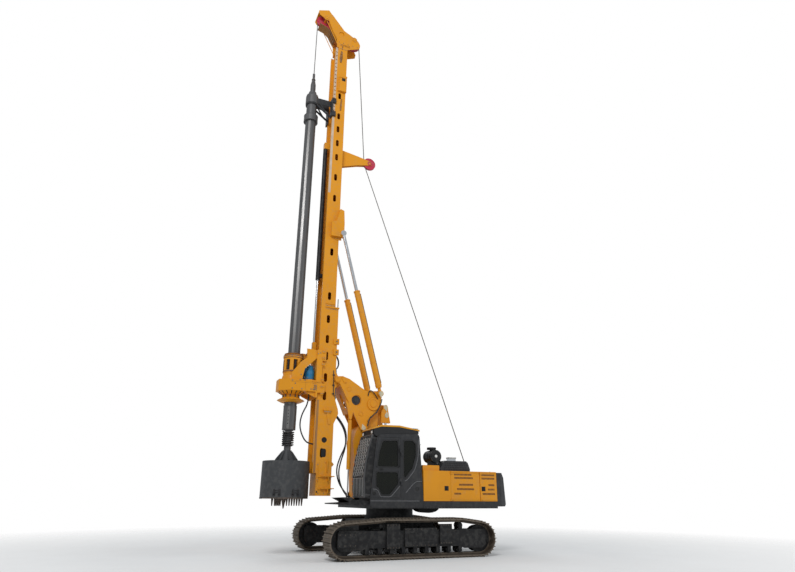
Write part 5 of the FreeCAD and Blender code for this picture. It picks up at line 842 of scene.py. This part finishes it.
def make_cab_guards():
    # Black plates close the guard's sides; their black also stands in for the dark seen through the mesh:
    # partly painted shade.
    shade_cheeks = Kit(HOUSE, "guard_shade_cheeks", BLACK, 0.002)
    outline = [(x - 0.016, z) for x, z in GUARD_CURVE] + [(1.062, 3.3), (1.15, 2.4), (1.236, 1.56)]
    for y in (0.516, 1.474):
        shade_cheeks.plate(outline, y, y + 0.008)

    mesh = Kit(HOUSE, "guard_mesh", BARE_MESH, smooth=SOFT_EDGE)
    wide = GUARD_LEFT - GUARD_RIGHT
    count = int((GUARD_HIGH - GUARD_LOW + wide) / MESH_PITCH) + 1
    for foot in row(GUARD_LOW, MESH_PITCH, count):
        for lean in SIDES:
            line = []
            for y in row(GUARD_RIGHT, wide / 12, 13):
                z = foot - (y - GUARD_RIGHT if lean > 0.0 else GUARD_LEFT - y)
                if GUARD_LOW <= z <= GUARD_HIGH:
                    line.append((guard_x(z) + 0.019 + 0.006 * lean, y, z))
            if len(line) > 1:
                mesh.pipe(line, 0.008, 6)
    for y in row(0.6, 0.133, 7):
        mesh.pipe([(guard_x(z) + 0.018, y, z) for z in (1.64, 1.9, 2.16)], 0.007, 6)
    reflectors = Kit(HOUSE, "guard_lamps", ORANGE, 0.004)
    for z in (1.7, 2.01, 2.13, 2.56, 2.9, 3.19):
        reflectors.box((guard_x(z) + 0.018, 0.508, z - 0.045), (guard_x(z) + 0.034, 0.542, z + 0.045))
    wiper = Kit(HOUSE, "wiper", BLACK)
    wiper.rod((1.215, 0.98, 1.76), (1.15, 0.75, 2.56), 0.008, 8)
    wiper.box((1.128, 0.7, 2.2), (1.14, 0.715, 2.95), (0.08, "Y"))

    # The roof guard's slots are thin near-black boxes: painted shade.
    roof = Kit(HOUSE, "roof_guard_slots", HOLE_SHADE)
    for x in (0.7, -0.23):
        roof.box((x - 0.1, 1.4885, 3.615), (x + 0.1, 1.4915, 3.633))
    for x in row(-0.2, 0.2, 3):
        z = 3.622 + 0.078 * min(1.0, (x + 0.37) / 0.67)
        roof.box((x - 0.02, 0.62, z - 0.01), (x + 0.02, 1.38, z + 0.004))
    Kit(HOUSE, "roof_guard_lining", SEAL, 0.004, slot="black_paint").plate([(-0.345, 3.475), (0.905, 3.42),
        (1.05, 3.34), (1.15, 3.4), (1.15, 3.556), (0.895, 3.63), (0.3, 3.64), (-0.34, 3.56)], 0.506, 1.494)
    lamps = Kit(HOUSE, "work_lamps", BLACK, 0.006)
    glass = Kit(HOUSE, "work_lamp_glass", LAMP, 0.003)
    for y in (0.62, 1.38):
        lamps.box((1.09, y - 0.065, 3.42), (1.18, y + 0.065, 3.52))
        glass.box((1.176, y - 0.052, 3.432), (1.186, y + 0.052, 3.508))

    controls = Kit(HOUSE, "cab_controls", BLACK, 0.004)
    for y in (0.72, 1.32):
        controls.rod((0.4, y, 2.19), (0.43, y, 2.38), 0.016, 12, 0.012)
        controls.rod((0.43, y, 2.37), (0.44, y, 2.45), 0.026, 16, 0.02)
    controls.box((0.9, 0.64, 2.35), (0.94, 0.9, 2.56))
    controls.rod((0.9, 0.77, 1.6), (0.92, 0.77, 2.36), 0.018, 12)
    Kit(HOUSE, "cab_screen", SCREEN, 0.003).box((0.895, 0.655, 2.37), (0.902, 0.885, 2.545))


# ---------------------------------------------------------------- linkage
TRIANGLE_SIDE = 0.449
TRIANGLE_PLATE = 0.47
TRIANGLE_HOLE = (1.38, 4.56)
# body, foot and eye (x, z), tube radius, where the tube starts and ends, place across, look
CYLINDERS = (("mast_cylinder_barrels", (0.58, 4.81), (2.08, 10.36), 0.1, 0.2, 3.59, 0.52, YELLOW),
             ("boom_cylinder_barrels", (0.2, 1.75), (0.33, 4.4), 0.07, 0.15, 1.7, 0.33, BLACK))


def pin_face(kit, x, z, y, outer, inner, rise):
    """A pin's end with its keeper ring."""
    kit.ring((x, y, z), OUT, outer, inner, rise)
    kit.stub((x, y - 0.002, z), OUT, rise * 0.6 + 0.002, inner * 0.96, 28)


def keeper(kit, x, z, y, tilt, size):
    """A pale teardrop keeper plate round a pin, with its ring."""
    outline = []
    for angle in row(math.radians(-130.0), math.radians(260.0 / 24), 25):
        outline.append((math.sin(angle) * 0.062 * size, math.cos(angle) * 0.062 * size))
    outline.append((0.0, -0.125 * size))
    kit.plate([(x + a * math.cos(tilt) + b * math.sin(tilt), z - a * math.sin(tilt) + b * math.cos(tilt))
               for a, b in outline], y, y + 0.012)
    kit.ring((x, y + 0.01, z), OUT, 0.046 * size, 0.03 * size, 0.01, 28)


def strap(start, end, half):
    """The corners of a straight band between two (x, z) places."""
    way = (Vector(end) - Vector(start)).normalized()
    off = Vector((-way.y, way.x)) * half
    return [tuple(Vector(spot) + off * sign) for spot, sign in ((start, 1), (end, 1), (end, -1), (start, -1))]


def make_triangle():
    plates = Pair("triangle", "triangle_fittings", YELLOW, 0.003)
    for x, z in ((1.638, 4.899), (1.216, 4.136)):
        pin_face(plates, x, z, TRIANGLE_SIDE, 0.075, 0.06, 0.012)
    plates.ring((0.8, 0.479, 4.46), OUT, 0.196, 0.15, 0.01, 48)
    plates.stub((0.8, 0.478, 4.46), OUT, 0.022, 0.105, 40, 0.098)
    x, z = TRIANGLE_HOLE
    plates.ring((x, TRIANGLE_SIDE, z), OUT, 0.182, 0.166, 0.006, 48)
    high, low = Vector((1.896, 5.288)), Vector((1.758, 5.081))
    plates.plate(rounded(strap(high, low, 0.042), 0.038), TRIANGLE_SIDE, TRIANGLE_PLATE)
    inward = (low - high).normalized() * 0.03
    plates.bolts([(spot.x, TRIANGLE_PLATE, spot.y) for spot in (high + inward, low - inward)], OUT, 0.016)
    plates.ring((2.04, 0.468, 5.18), OUT, 0.085, 0.05, 0.012, 36)

    flange = Pair("triangle", "hole_flange", DARK_FLANGE, 0.003, slot="dark_grey_paint")
    flange.stub((x, 0.365, z), OUT, 0.035, 0.15, 40)
    flange.stub((x, 0.398, z), OUT, 0.014, 0.07, 30)
    flange.bolts(circle((x, 0.4, z), 0.115, 8, upright=True), OUT, 0.013)
    pale = Pair("triangle", "triangle_keepers", CREAM, 0.002)
    keeper(pale, 0.58, 4.81, 0.591, 0.0, 1.15)
    keeper(pale, 1.11, 3.69, TRIANGLE_SIDE, math.radians(200.0), 1.1)
    pale = Pair("boom_cylinder_pistons", "head_block_keepers", CREAM, 0.002)
    keeper(pale, 0.33, 4.4, 0.393, 0.3, 1.15)
    keeper(pale, 0.29, 4.13, 0.393, math.pi, 1.15)

    hoses = Pair("triangle", "triangle_hoses", RUBBER, smooth=SOFT_EDGE)
    hoses.bend(((0.5, 0.475, 4.64), (0.545, 0.49, 4.48), (0.66, 0.49, 4.24), (0.8, 0.475, 4.105),
        (0.925, 0.47, 3.99), (0.96, 0.47, 3.86), (0.985, 0.465, 3.76)), 0.018, 10)
    hoses.bend(((0.64, 0.47, 4.64), (0.77, 0.5, 4.8), (0.9, 0.5, 4.905), (0.96, 0.47, 4.86), (0.985, 0.462,
        4.72)), 0.016, 10)
    clamps = Pair("triangle", "triangle_clamps", TOOTH, 0.002)
    for x, z in ((0.69, 4.205), (0.86, 4.052), (0.955, 3.92)):
        clamps.box((x - 0.024, TRIANGLE_SIDE, z - 0.024), (x + 0.024, 0.5, z + 0.024), (0.7, "Y"))
    foot = Pair(HOUSE, "foot_pin_caps", BLACK, 0.003)
    for x, z in ((1.16, 1.64), (0.85, 2.41)):
        pin_face(foot, x, z, 0.405, 0.058, 0.04, 0.01)


def make_cylinder_trim():
    for body, foot, eye, tube, start, top, y, look in CYLINDERS:
        way = (Vector(eye) - Vector(foot)).normalized()
        ahead = Vector((way.x, 0.0, way.y))
        trim = Pair(body, body + "_trim", look, 0.003)
        pipes = Pair(body, body + "_pipes", BLACK, smooth=SOFT_EDGE)

        def spot(along, off=0.0):
            return (foot[0] + way.x * along - way.y * off, y, foot[1] + way.y * along + way.x * off)

        clips = [(along, 0.006, 0.022) for along in row(start + 0.25, (top - start - 0.45) / 5, 6)]
        for along, rise, wide in [(top - 0.055, 0.012, 0.045), (start + 0.06, 0.008, 0.045)] + clips:
            trim.ring(spot(along), ahead, tube + rise, tube - 0.004, wide)
        skin, reach = tube - 0.02, tube + 0.016
        pipes.pipe([spot(start + 0.12, skin), spot(start + 0.14, reach), spot(start + 0.2, reach),
                    spot(top - 0.2, reach), spot(top - 0.12, reach), spot(top - 0.09, skin)], 0.011)


# ---------------------------------------------------------------- mast
MAST_SIDE = 0.34
BOX_SIDE = MAST_SIDE + 0.058
HEAD_PINS = (FRONT_SHEAVE[:2], REAR_SHEAVE[:2])
BLOCK_HEIGHTS = (6.448, 6.088)


def make_mast():
    # The mast's foot holes are thin near-black discs and plates on its side: painted shade.
    holes = Pair("mast", "mast_foot_holes", HOLE_SHADE)
    hole_low, hole_high = 0.336, 0.3412
    for x, z, radius, sides in ((2.361, 3.28, 0.085, 36), (2.52, 1.76, 0.026, 20)):
        holes.rod((x, hole_low, z), (x, hole_high, z), radius, sides)
    for outline in (oblong(2.285, 2.437, 2.765, 3.02, 0.075), oblong(2.612, 2.658, 3.18, 3.31, 0.022)):
        holes.plate(outline, hole_low, hole_high)
    fittings = Pair("mast", "mast_fittings", YELLOW, 0.004)
    for z in (1.845, 2.195):
        fittings.box((2.0, 0.338, z), (2.42, 0.425, z + 0.024))
        fittings.plate([(2.18, z), (2.204, z), (2.204, z - 0.13), (2.18, z - 0.13)], 0.338, 0.425)
    for x_low, x_high, z_low, z_high, rise in ((2.165, 2.45, 4.175, 4.205, 0.055), (2.195, 2.42, 4.11, 4.25,
            0.04), (2.215, 2.24, 2.333, 2.67, 0.045), (2.24, 2.3, 2.6, 2.64, 0.018), (2.5, 2.53, 2.06, 2.59,
            0.026), (2.21, 2.545, 7.61, 7.63, 0.02), (2.21, 2.545, 7.73, 7.75, 0.02), (2.1, 2.33, 10.15,
            10.62, 0.016)):
        fittings.box((x_low, MAST_SIDE, z_low), (x_high, MAST_SIDE + rise, z_high))
    fittings.plate([(2.23, 4.11), (2.33, 4.11), (2.262, 3.76), (2.18, 3.76)], MAST_SIDE, MAST_SIDE + 0.022)
    fittings.plate([(2.082, 2.66), (2.082, 2.47), (1.995, 2.56)], 0.25, 0.29)
    for z in BLOCK_HEIGHTS:
        fittings.box((2.02, MAST_SIDE - 0.02, z - 0.095), (2.2, MAST_SIDE + 0.05, z + 0.095))
        fittings.ring((2.1, MAST_SIDE + 0.05, z), OUT, 0.062, 0.034, 0.012, 28)

    bolts = Pair("mast", "mast_bolts", BRIGHT_BOLT)
    for x, step, count, z, rise, size in ((2.225, 0.056, 4, 4.142, 0.04, 0.014), (2.13, 0.06, 7, 7.56, 0.0,
            0.013), (2.225, 0.05, 7, 7.68, 0.0, 0.013), (2.24, 0.052, 6, 18.7, 0.0, 0.012), (2.135, 0.05, 5,
            10.19, 0.016, 0.01), (2.135, 0.05, 5, 10.58, 0.016, 0.01), (2.12, 0.18, 3, 1.72, 0.0, 0.011),
            (2.27, 0.0, 1, 2.62, 0.0, 0.011)):
        bolts.bolts([(spot, MAST_SIDE + rise, z) for spot in row(x, step, count)], OUT, size)
    bolts.bolts([(2.1, MAST_SIDE + 0.05, z) for z in BLOCK_HEIGHTS], OUT, 0.022)
    bolts.bolts([(2.53, MAST_SIDE + 0.026, z) for z in (2.11, 2.54)], OUT, 0.011)

    slides = Pair("mast", "rail_slide_faces", WORN_FACE)
    for low, high in ((12.0, 15.3), (15.32, 18.7)):
        slides.box((2.585, 0.3395, low), (2.674, 0.3412, high))
    smears = Pair("mast", "rail_smears", WEATHERED_AND_SHADE)
    for index, z in enumerate(row(15.43, 0.19, 17)):
        smears.box((2.59, MAST_SIDE, z - 0.02), (2.67, 0.342, z + 0.02), (0.75 if index % 2 else -0.75, "Y"))
    worn = Pair("mast", "mast_side_marks", WEATHERED_AND_SHADE, 0.003)
    for rise, outline in ((0.014, [(2.39, 18.56), (2.455, 18.6), (2.5, 18.2), (2.47, 17.98), (2.41, 18.02),
            (2.375, 18.28)]), (0.012, [(2.315, 16.25), (2.365, 16.23), (2.395, 15.9), (2.385, 15.66),
            (2.33, 15.7)]), (0.01, [(2.38, 18.86), (2.42, 18.86), (2.43, 18.7), (2.4, 18.66)])):
        worn.plate(outline, MAST_SIDE, MAST_SIDE + rise)
    for x, z, radius in ((2.45, 18.42, 0.03), (2.43, 18.18, 0.026), (2.345, 16.15, 0.026)):
        worn.stub((x, MAST_SIDE, z), OUT, 0.03, radius, 14)
    bracket = Pair("mast", "mast_side_box", YELLOW, 0.005)
    bracket.plate([(2.205, 17.22), (2.47, 17.2), (2.47, 16.56), (2.205, 16.56)], BOX_SIDE, BOX_SIDE + 0.04)
    bracket.box((2.19, BOX_SIDE, 17.19), (2.48, BOX_SIDE + 0.062, 17.23))
    bracket.box((2.19, BOX_SIDE, 16.545), (2.48, BOX_SIDE + 0.05, 16.575))
    bracket.stub((2.215, BOX_SIDE + 0.03, 17.25), OUT, 0.032, 0.04, 20)
    # The box's opening is a thin near-black box: painted shade.
    Pair("mast", "mast_box_opening", HOLE_SHADE).box((2.245, BOX_SIDE + 0.036, 17.04), (2.39, BOX_SIDE + 0.043,
        17.17))
    Pair("mast", "rail_wear_strips", RUSTY).box((2.59, 0.3395, 2.31), (2.664, 0.3415, 4.5))


def make_mast_pipes():
    side_pipe = Pair("mast", "mast_side_pipes", DARK_FLANGE, smooth=SOFT_EDGE)
    side_pipe.bend(((2.16, 0.336, 5.48), (2.155, 0.356, 5.42), (2.145, 0.356, 5.1), (2.133, 0.356, 4.78),
                    (2.11, 0.356, 4.67), (2.1, 0.336, 4.64)), 0.013)
    for z in (5.33, 5.0, 4.72):
        side_pipe.box((2.112, 0.338, z - 0.016), (2.182, 0.374, z + 0.016))
    pipes = Kit("mast", "mast_pipes", PIPE_GREY, smooth=SOFT_EDGE)
    for off in (0.0, 0.034):
        pipes.bend(((2.072, 0.25 - off, 4.225), (2.045, 0.27 - off, 4.42), (2.045, 0.3 - off, 4.8),
                    (2.045, 0.3 - off, 5.48), (2.07, 0.29 - off, 5.56)), 0.012, 10)
        pipes.pipe([(2.062, 0.2 - off, z) for z in (5.56, 8.0, 7.57)], 0.012, 10)
    for y in (0.15, 0.1, 0.05):
        pipes.pipe([(2.574, y, z) for z in (9.0, 14.0, 18.6)], 0.011)
    loop = Kit("mast", "mast_hose_loops", RUBBER, smooth=SOFT_EDGE)
    for y in (0.3, 0.24):
        loop.bend([(x, y, z) for x, z in ((2.078, 5.98), (2.03, 5.93), (1.985, 5.82), (1.975, 5.7),
            (2.01, 5.59), (2.06, 5.54))], 0.017, 10)
    clips = Kit("mast", "pipe_clips", BLACK, 0.002)
    for z in (4.6, 5.0, 5.38):
        clips.box((2.03, 0.25, z - 0.02), (2.082, 0.318, z + 0.02))
    for z in row(9.2, 1.02, 10):
        clips.box((2.558, 0.02, z - 0.018), (2.59, 0.172, z + 0.018))


def make_head():
    Pair("mast", "deflector_fittings", RED, 0.003).ring((DEFLECTOR[0], 0.07, DEFLECTOR[1]), OUT, 0.085, 0.045,
        0.012, 32)
    head = Pair("mast", "head_fittings", YELLOW, 0.003)
    for x, z in HEAD_PINS:
        head.ring((x, 0.3, z), OUT, 0.11, 0.0605, 0.014, 36)
        head.stub((x, 0.298, z), OUT, 0.024, 0.055, 28)
    for start, end in (((2.56, 18.82), (3.1, 19.93)), ((2.3, 19.64), (2.9, 20.36))):
        head.plate(strap(start, end, 0.014), 0.299, 0.308)
    # Darker yellow plates and ribs under and beside the head: partly weathering, partly painted shade of the
    # underside.
    under = Kit("mast", "head_under_shade_plates", WEATHERED_AND_SHADE, 0.003, slot="yellow_paint")
    under.plate([(2.69, 19.25), (2.9, 19.56), (3.08, 19.735), (3.365, 19.815), (3.362, 19.829),
        (3.074, 19.75), (2.89, 19.572), (2.676, 19.258)], -0.205, 0.205)
    for x, z in zip(row(2.72, 0.055, 6), row(19.3, 0.08, 6)):
        under.box((x - 0.006, -0.205, z - 0.03), (x + 0.006, 0.205, z + 0.03))
    under.sides = SIDES
    for x in row(2.1, 0.06, 7):
        under.box((x - 0.008, 0.3, 18.9), (x + 0.008, 0.32, 18.99))
    Pair("mast", "head_eye_discs", YELLOW, 0.003).stub((2.45, 0.258, 19.5), OUT, 0.01, 0.15, 36)
    bolts = Pair("mast", "head_bolts", BRIGHT_BOLT)
    for x, z in HEAD_PINS:
        bolts.bolts(circle((x, 0.313, z), 0.09, 6, math.pi / 6, True), OUT, 0.01)
    bolts.bolts([(x, 0.3, 19.06) for x in (1.76, 1.96, 2.16, 2.36, 2.54)], OUT, 0.014)


# ---------------------------------------------------------------- rotary drive
GEARBOX_SIDE = 0.45
CARRIAGE_SIDE = 0.44
PAD_HEIGHTS = (6.04, 5.84, 5.63, 5.13, 4.91, 4.69)
MOTOR = (2.9, 0.17)
KELLY_AXIS = (KELLY_X, 0.0)
KEY_ANGLES = [math.radians(degrees) for degrees in (66.0, 186.0, 306.0)]


def block(kit, centre, turn, size):
    """A block turned about an upright line through its centre."""
    spin = Matrix.Rotation(turn, 4, "Z") @ Matrix.Diagonal((*size, 1.0))
    bmesh.ops.create_cube(kit.shape, size=1.0, matrix=Matrix.Translation(centre) @ spin)


def make_carriage():
    lumps = Pair("carriage", "carriage_fittings", YELLOW, 0.004)
    for z in PAD_HEIGHTS:
        lumps.box((2.492, 0.42, z - 0.038), (2.592, CARRIAGE_SIDE, z + 0.038))
    lumps.box((2.6, 0.449, 5.04), (3.56, 0.456, 5.056))
    lumps.stub((*MOTOR, 5.088), UP, 0.047, 0.172, 40, 0.158)
    bolts = Pair("carriage", "drive_bolts", BRIGHT_BOLT)
    bolts.bolts([(x, GEARBOX_SIDE, z) for x, z in (
        (3.507, 5.04), (3.266, 5.07), (3.415, 4.945), (3.12, 5.07), (2.9, 4.8), (2.82, 4.8), (3.2, 4.79),
        (3.5, 4.79))], OUT, 0.016)
    bolts.bolts([(x, GEARBOX_SIDE, z) for z in (4.93, 4.87, 4.81) for x in (2.74, 2.79)], OUT, 0.015)
    bolts.bolts(((2.72, 0.42, 5.964), (2.64, 0.42, 6.0), (3.23, 0.38, 5.25), (3.12, 0.38, 5.17),
        (3.02, 0.38, 5.17)), OUT, 0.015)
    bolts.bolts([(x, CARRIAGE_SIDE, z) for z in PAD_HEIGHTS for x in (2.515, 2.568)], OUT, 0.011)
    bolts.bolts(circle((*MOTOR, 5.13), 0.15, 10), UP, 0.01)
    seam = Pair("carriage", "gearbox_seams", SEAM)
    for x_low, x_high, z_low, z_high in ((2.76, 3.56, 4.992, 4.998), (3.08, 3.086, 4.74, 5.088)):
        seam.box((x_low, 0.4495, z_low), (x_high, 0.4515, z_high))
    under = Kit("carriage", "gearbox_underside", BLACK, 0.003)
    turn = math.pi / 16
    for start, end in zip(circle((*KELLY_AXIS, 4.652), 0.3, 16, turn), circle((*KELLY_AXIS, 4.722), 0.415, 16,
            turn)):
        under.rod(start, end, 0.016, 8)


def make_sleeve():
    pins = Kit("rotary_sleeve", "flange_pins", TOOTH, 0.002)
    for place in circle((*KELLY_AXIS, 4.5), 0.262, 10):
        pins.stub(place, UP, 0.136, 0.018, 12)
    rust = Kit("rotary_sleeve", "drum_top_ring", RUST_ORANGE, 0.004)
    for z, outer, inner, depth in ((5.795, 0.322, 0.314, 0.105), (5.345, 0.322, 0.314, 0.045),
            (5.935, 0.3, 0.225, 0.018)):
        rust.ring((*KELLY_AXIS, z), UP, outer, inner, depth, 64)
    studs = Kit("rotary_sleeve", "drum_studs", BRIGHT_BOLT)
    for place in circle((*KELLY_AXIS, 5.848), 0.322, 16):
        studs.bolts([place], (place[0] - KELLY_X, place[1], 0.0), 0.015)
    studs.bolts(circle((*KELLY_AXIS, 5.953), 0.262, 16), UP, 0.012)
    studs.bolts(circle((*KELLY_AXIS, 4.478), 0.4, 20), UP, 0.01)
    coils = Kit("rotary_sleeve", "drum_coils", DARK_SPRING, smooth=SOFT_EDGE, slot="black_paint")
    for x, y, z in circle((*KELLY_AXIS, 5.41), 0.28, 8):
        coils.pipe(coil(x, y, 0.036, z, z + 0.32, 8, 14), 0.009, 6)


def make_motors():
    motor = Pair("carriage", "motor_fittings", BLUE, 0.003)
    hoses = Pair("carriage", "motor_hoses", RUBBER, smooth=SOFT_EDGE)
    x, y = MOTOR
    for z in (5.15, 5.3, 5.415):
        motor.ring((*MOTOR, z), UP, 0.147, 0.136, 0.018)
    motor.stub((*MOTOR, 5.566), UP, 0.034, 0.08, 28, 0.06)
    motor.bolts(circle((*MOTOR, 5.57), 0.085, 4, math.pi / 4), UP, 0.011)
    for lift in (0.0, 0.055):
        hoses.bend(((x + 0.02, y - 0.02, 5.6), (x + 0.04, y - 0.03, 5.72 + lift), (x + 0.02, y - 0.05,
            5.86 + lift), (x - 0.06, y - 0.06, 5.9 + lift), (x - 0.13, y - 0.06, 5.87 + lift)), 0.017, 10)
    gear = Kit("carriage", "carriage_top_gear", RUST_ORANGE, 0.002)
    gear.bend(((2.76, 0.3, 6.02), (2.86, 0.3, 6.11), (2.98, 0.28, 6.08), (3.06, 0.25, 5.96),
        (3.11, 0.24, 5.88)), 0.016, 10)
    for x, z in zip(row(2.85, 0.05, 5), row(5.985, -0.018, 5)):
        gear.rod((x, 0.33, z), (x, 0.25, z), 0.02, 12)


def make_kelly():
    keys = Kit("kelly_outer_tube", "kelly_keys", KELLY_LIGHT, 0.002)
    dots = Kit("kelly_outer_tube", "kelly_box_studs", BUCKET_DARK)
    for angle in KEY_ANGLES:
        way = Vector((math.cos(angle), math.sin(angle), 0.0))
        for radius, low, high in ((0.193, 4.33, 15.02), (0.204, 3.6, 4.265)):
            block(keys, Vector((*KELLY_AXIS, (low + high) / 2.0)) + way * radius, angle, (0.006, 0.085,
                high - low))
        for z in row(3.74, 0.1, 5):
            dots.stub(Vector((*KELLY_AXIS, z)) + way * 0.2, way, 0.0088, 0.017, 18)
    bands = Kit("kelly_outer_tube", "kelly_bands", KELLY, 0.003)
    for z, outer, inner, depth in ((3.562, 0.21, 0.2, 0.03), (4.27, 0.21, 0.2, 0.03), (15.03, 0.268, 0.255,
            0.02), (15.28, 0.268, 0.255, 0.02)):
        bands.ring((*KELLY_AXIS, z), UP, outer, inner, depth, 56)
    Kit("kelly_inner_bar", "damper_spring", DARK_SPRING, smooth=SOFT_EDGE).pipe(coil(*KELLY_AXIS, 0.165, 3.09,
        3.52, 7, 32), 0.02, 10)
    hooks = Kit("kelly_inner_bar", "bucket_latches", BUCKET_DARK, 0.003)
    for angle in (math.radians(degrees) for degrees in (60.0, 104.0, 240.0, 284.0)):
        out = Vector((math.cos(angle), math.sin(angle), 0.0))
        along = Vector((-out.y, out.x, 0.0))
        base = Vector((*KELLY_AXIS, 0.0)) + out * 0.704
        for offset in (-0.078, 0.078):
            for low, high, wide in ((1.66, 1.82, 0.052), (1.64, 1.7, 0.074)):
                centre = base + along * offset + out * 0.011 + Vector((0.0, 0.0, (low + high) / 2.0))
                block(hooks, centre, angle, (0.026, wide, high - low))
        for z, half, radius in ((1.725, 0.105, 0.012), (1.782, 0.06, 0.01)):
            middle = base + out * 0.006 + Vector((0.0, 0.0, z))
            hooks.rod(middle - along * half, middle + along * half, radius, 12)


# ---------------------------------------------------------------- undercarriage
CRAWLER_FACE = 2.0


def make_undercarriage():
    for side, name in zip(SIDES, ("left", "right")):
        way = across(side, OUT)
        bolts = Kit(name + "_crawler", "crawler_bolts_" + name, BOLT_DARK)
        for start, step, count, heights, size in (
                (0.53, 0.085, 5, (0.3, 0.885), 0.015), (-1.13, 0.083, 5, (0.395, 0.868), 0.015),
                (-0.64, 0.12, 9, (0.77, 0.348), 0.012), (1.82, 0.15, 4, (0.38, 0.65), 0.013)):
            bolts.bolts([(x, side * CRAWLER_FACE, z) for x in row(start, step, count) for z in heights], way,
                size)
        covers = Kit(name + "_crawler", "crawler_covers_" + name, BLACK, 0.006)
        for x in (-0.4, 0.08):
            covers.plate(oblong(x - 0.15, x + 0.15, 0.47, 0.66, 0.03), side * 1.99, side * 2.012)


# ---------------------------------------------------------------- the whole picture
bpy.context.scene.view_settings.view_transform = "Standard"
make_camera()
make_world()
make_lamps()
make_floor()
dress_nodes()
make_ropes()
make_hoses()
make_doors()
make_house()
make_cab_shell()
make_cab_guards()
make_triangle()
make_cylinder_trim()
make_mast()
make_mast_pipes()
make_head()
make_carriage()
make_sleeve()
make_motors()
make_kelly()
make_undercarriage()
finish_kits()
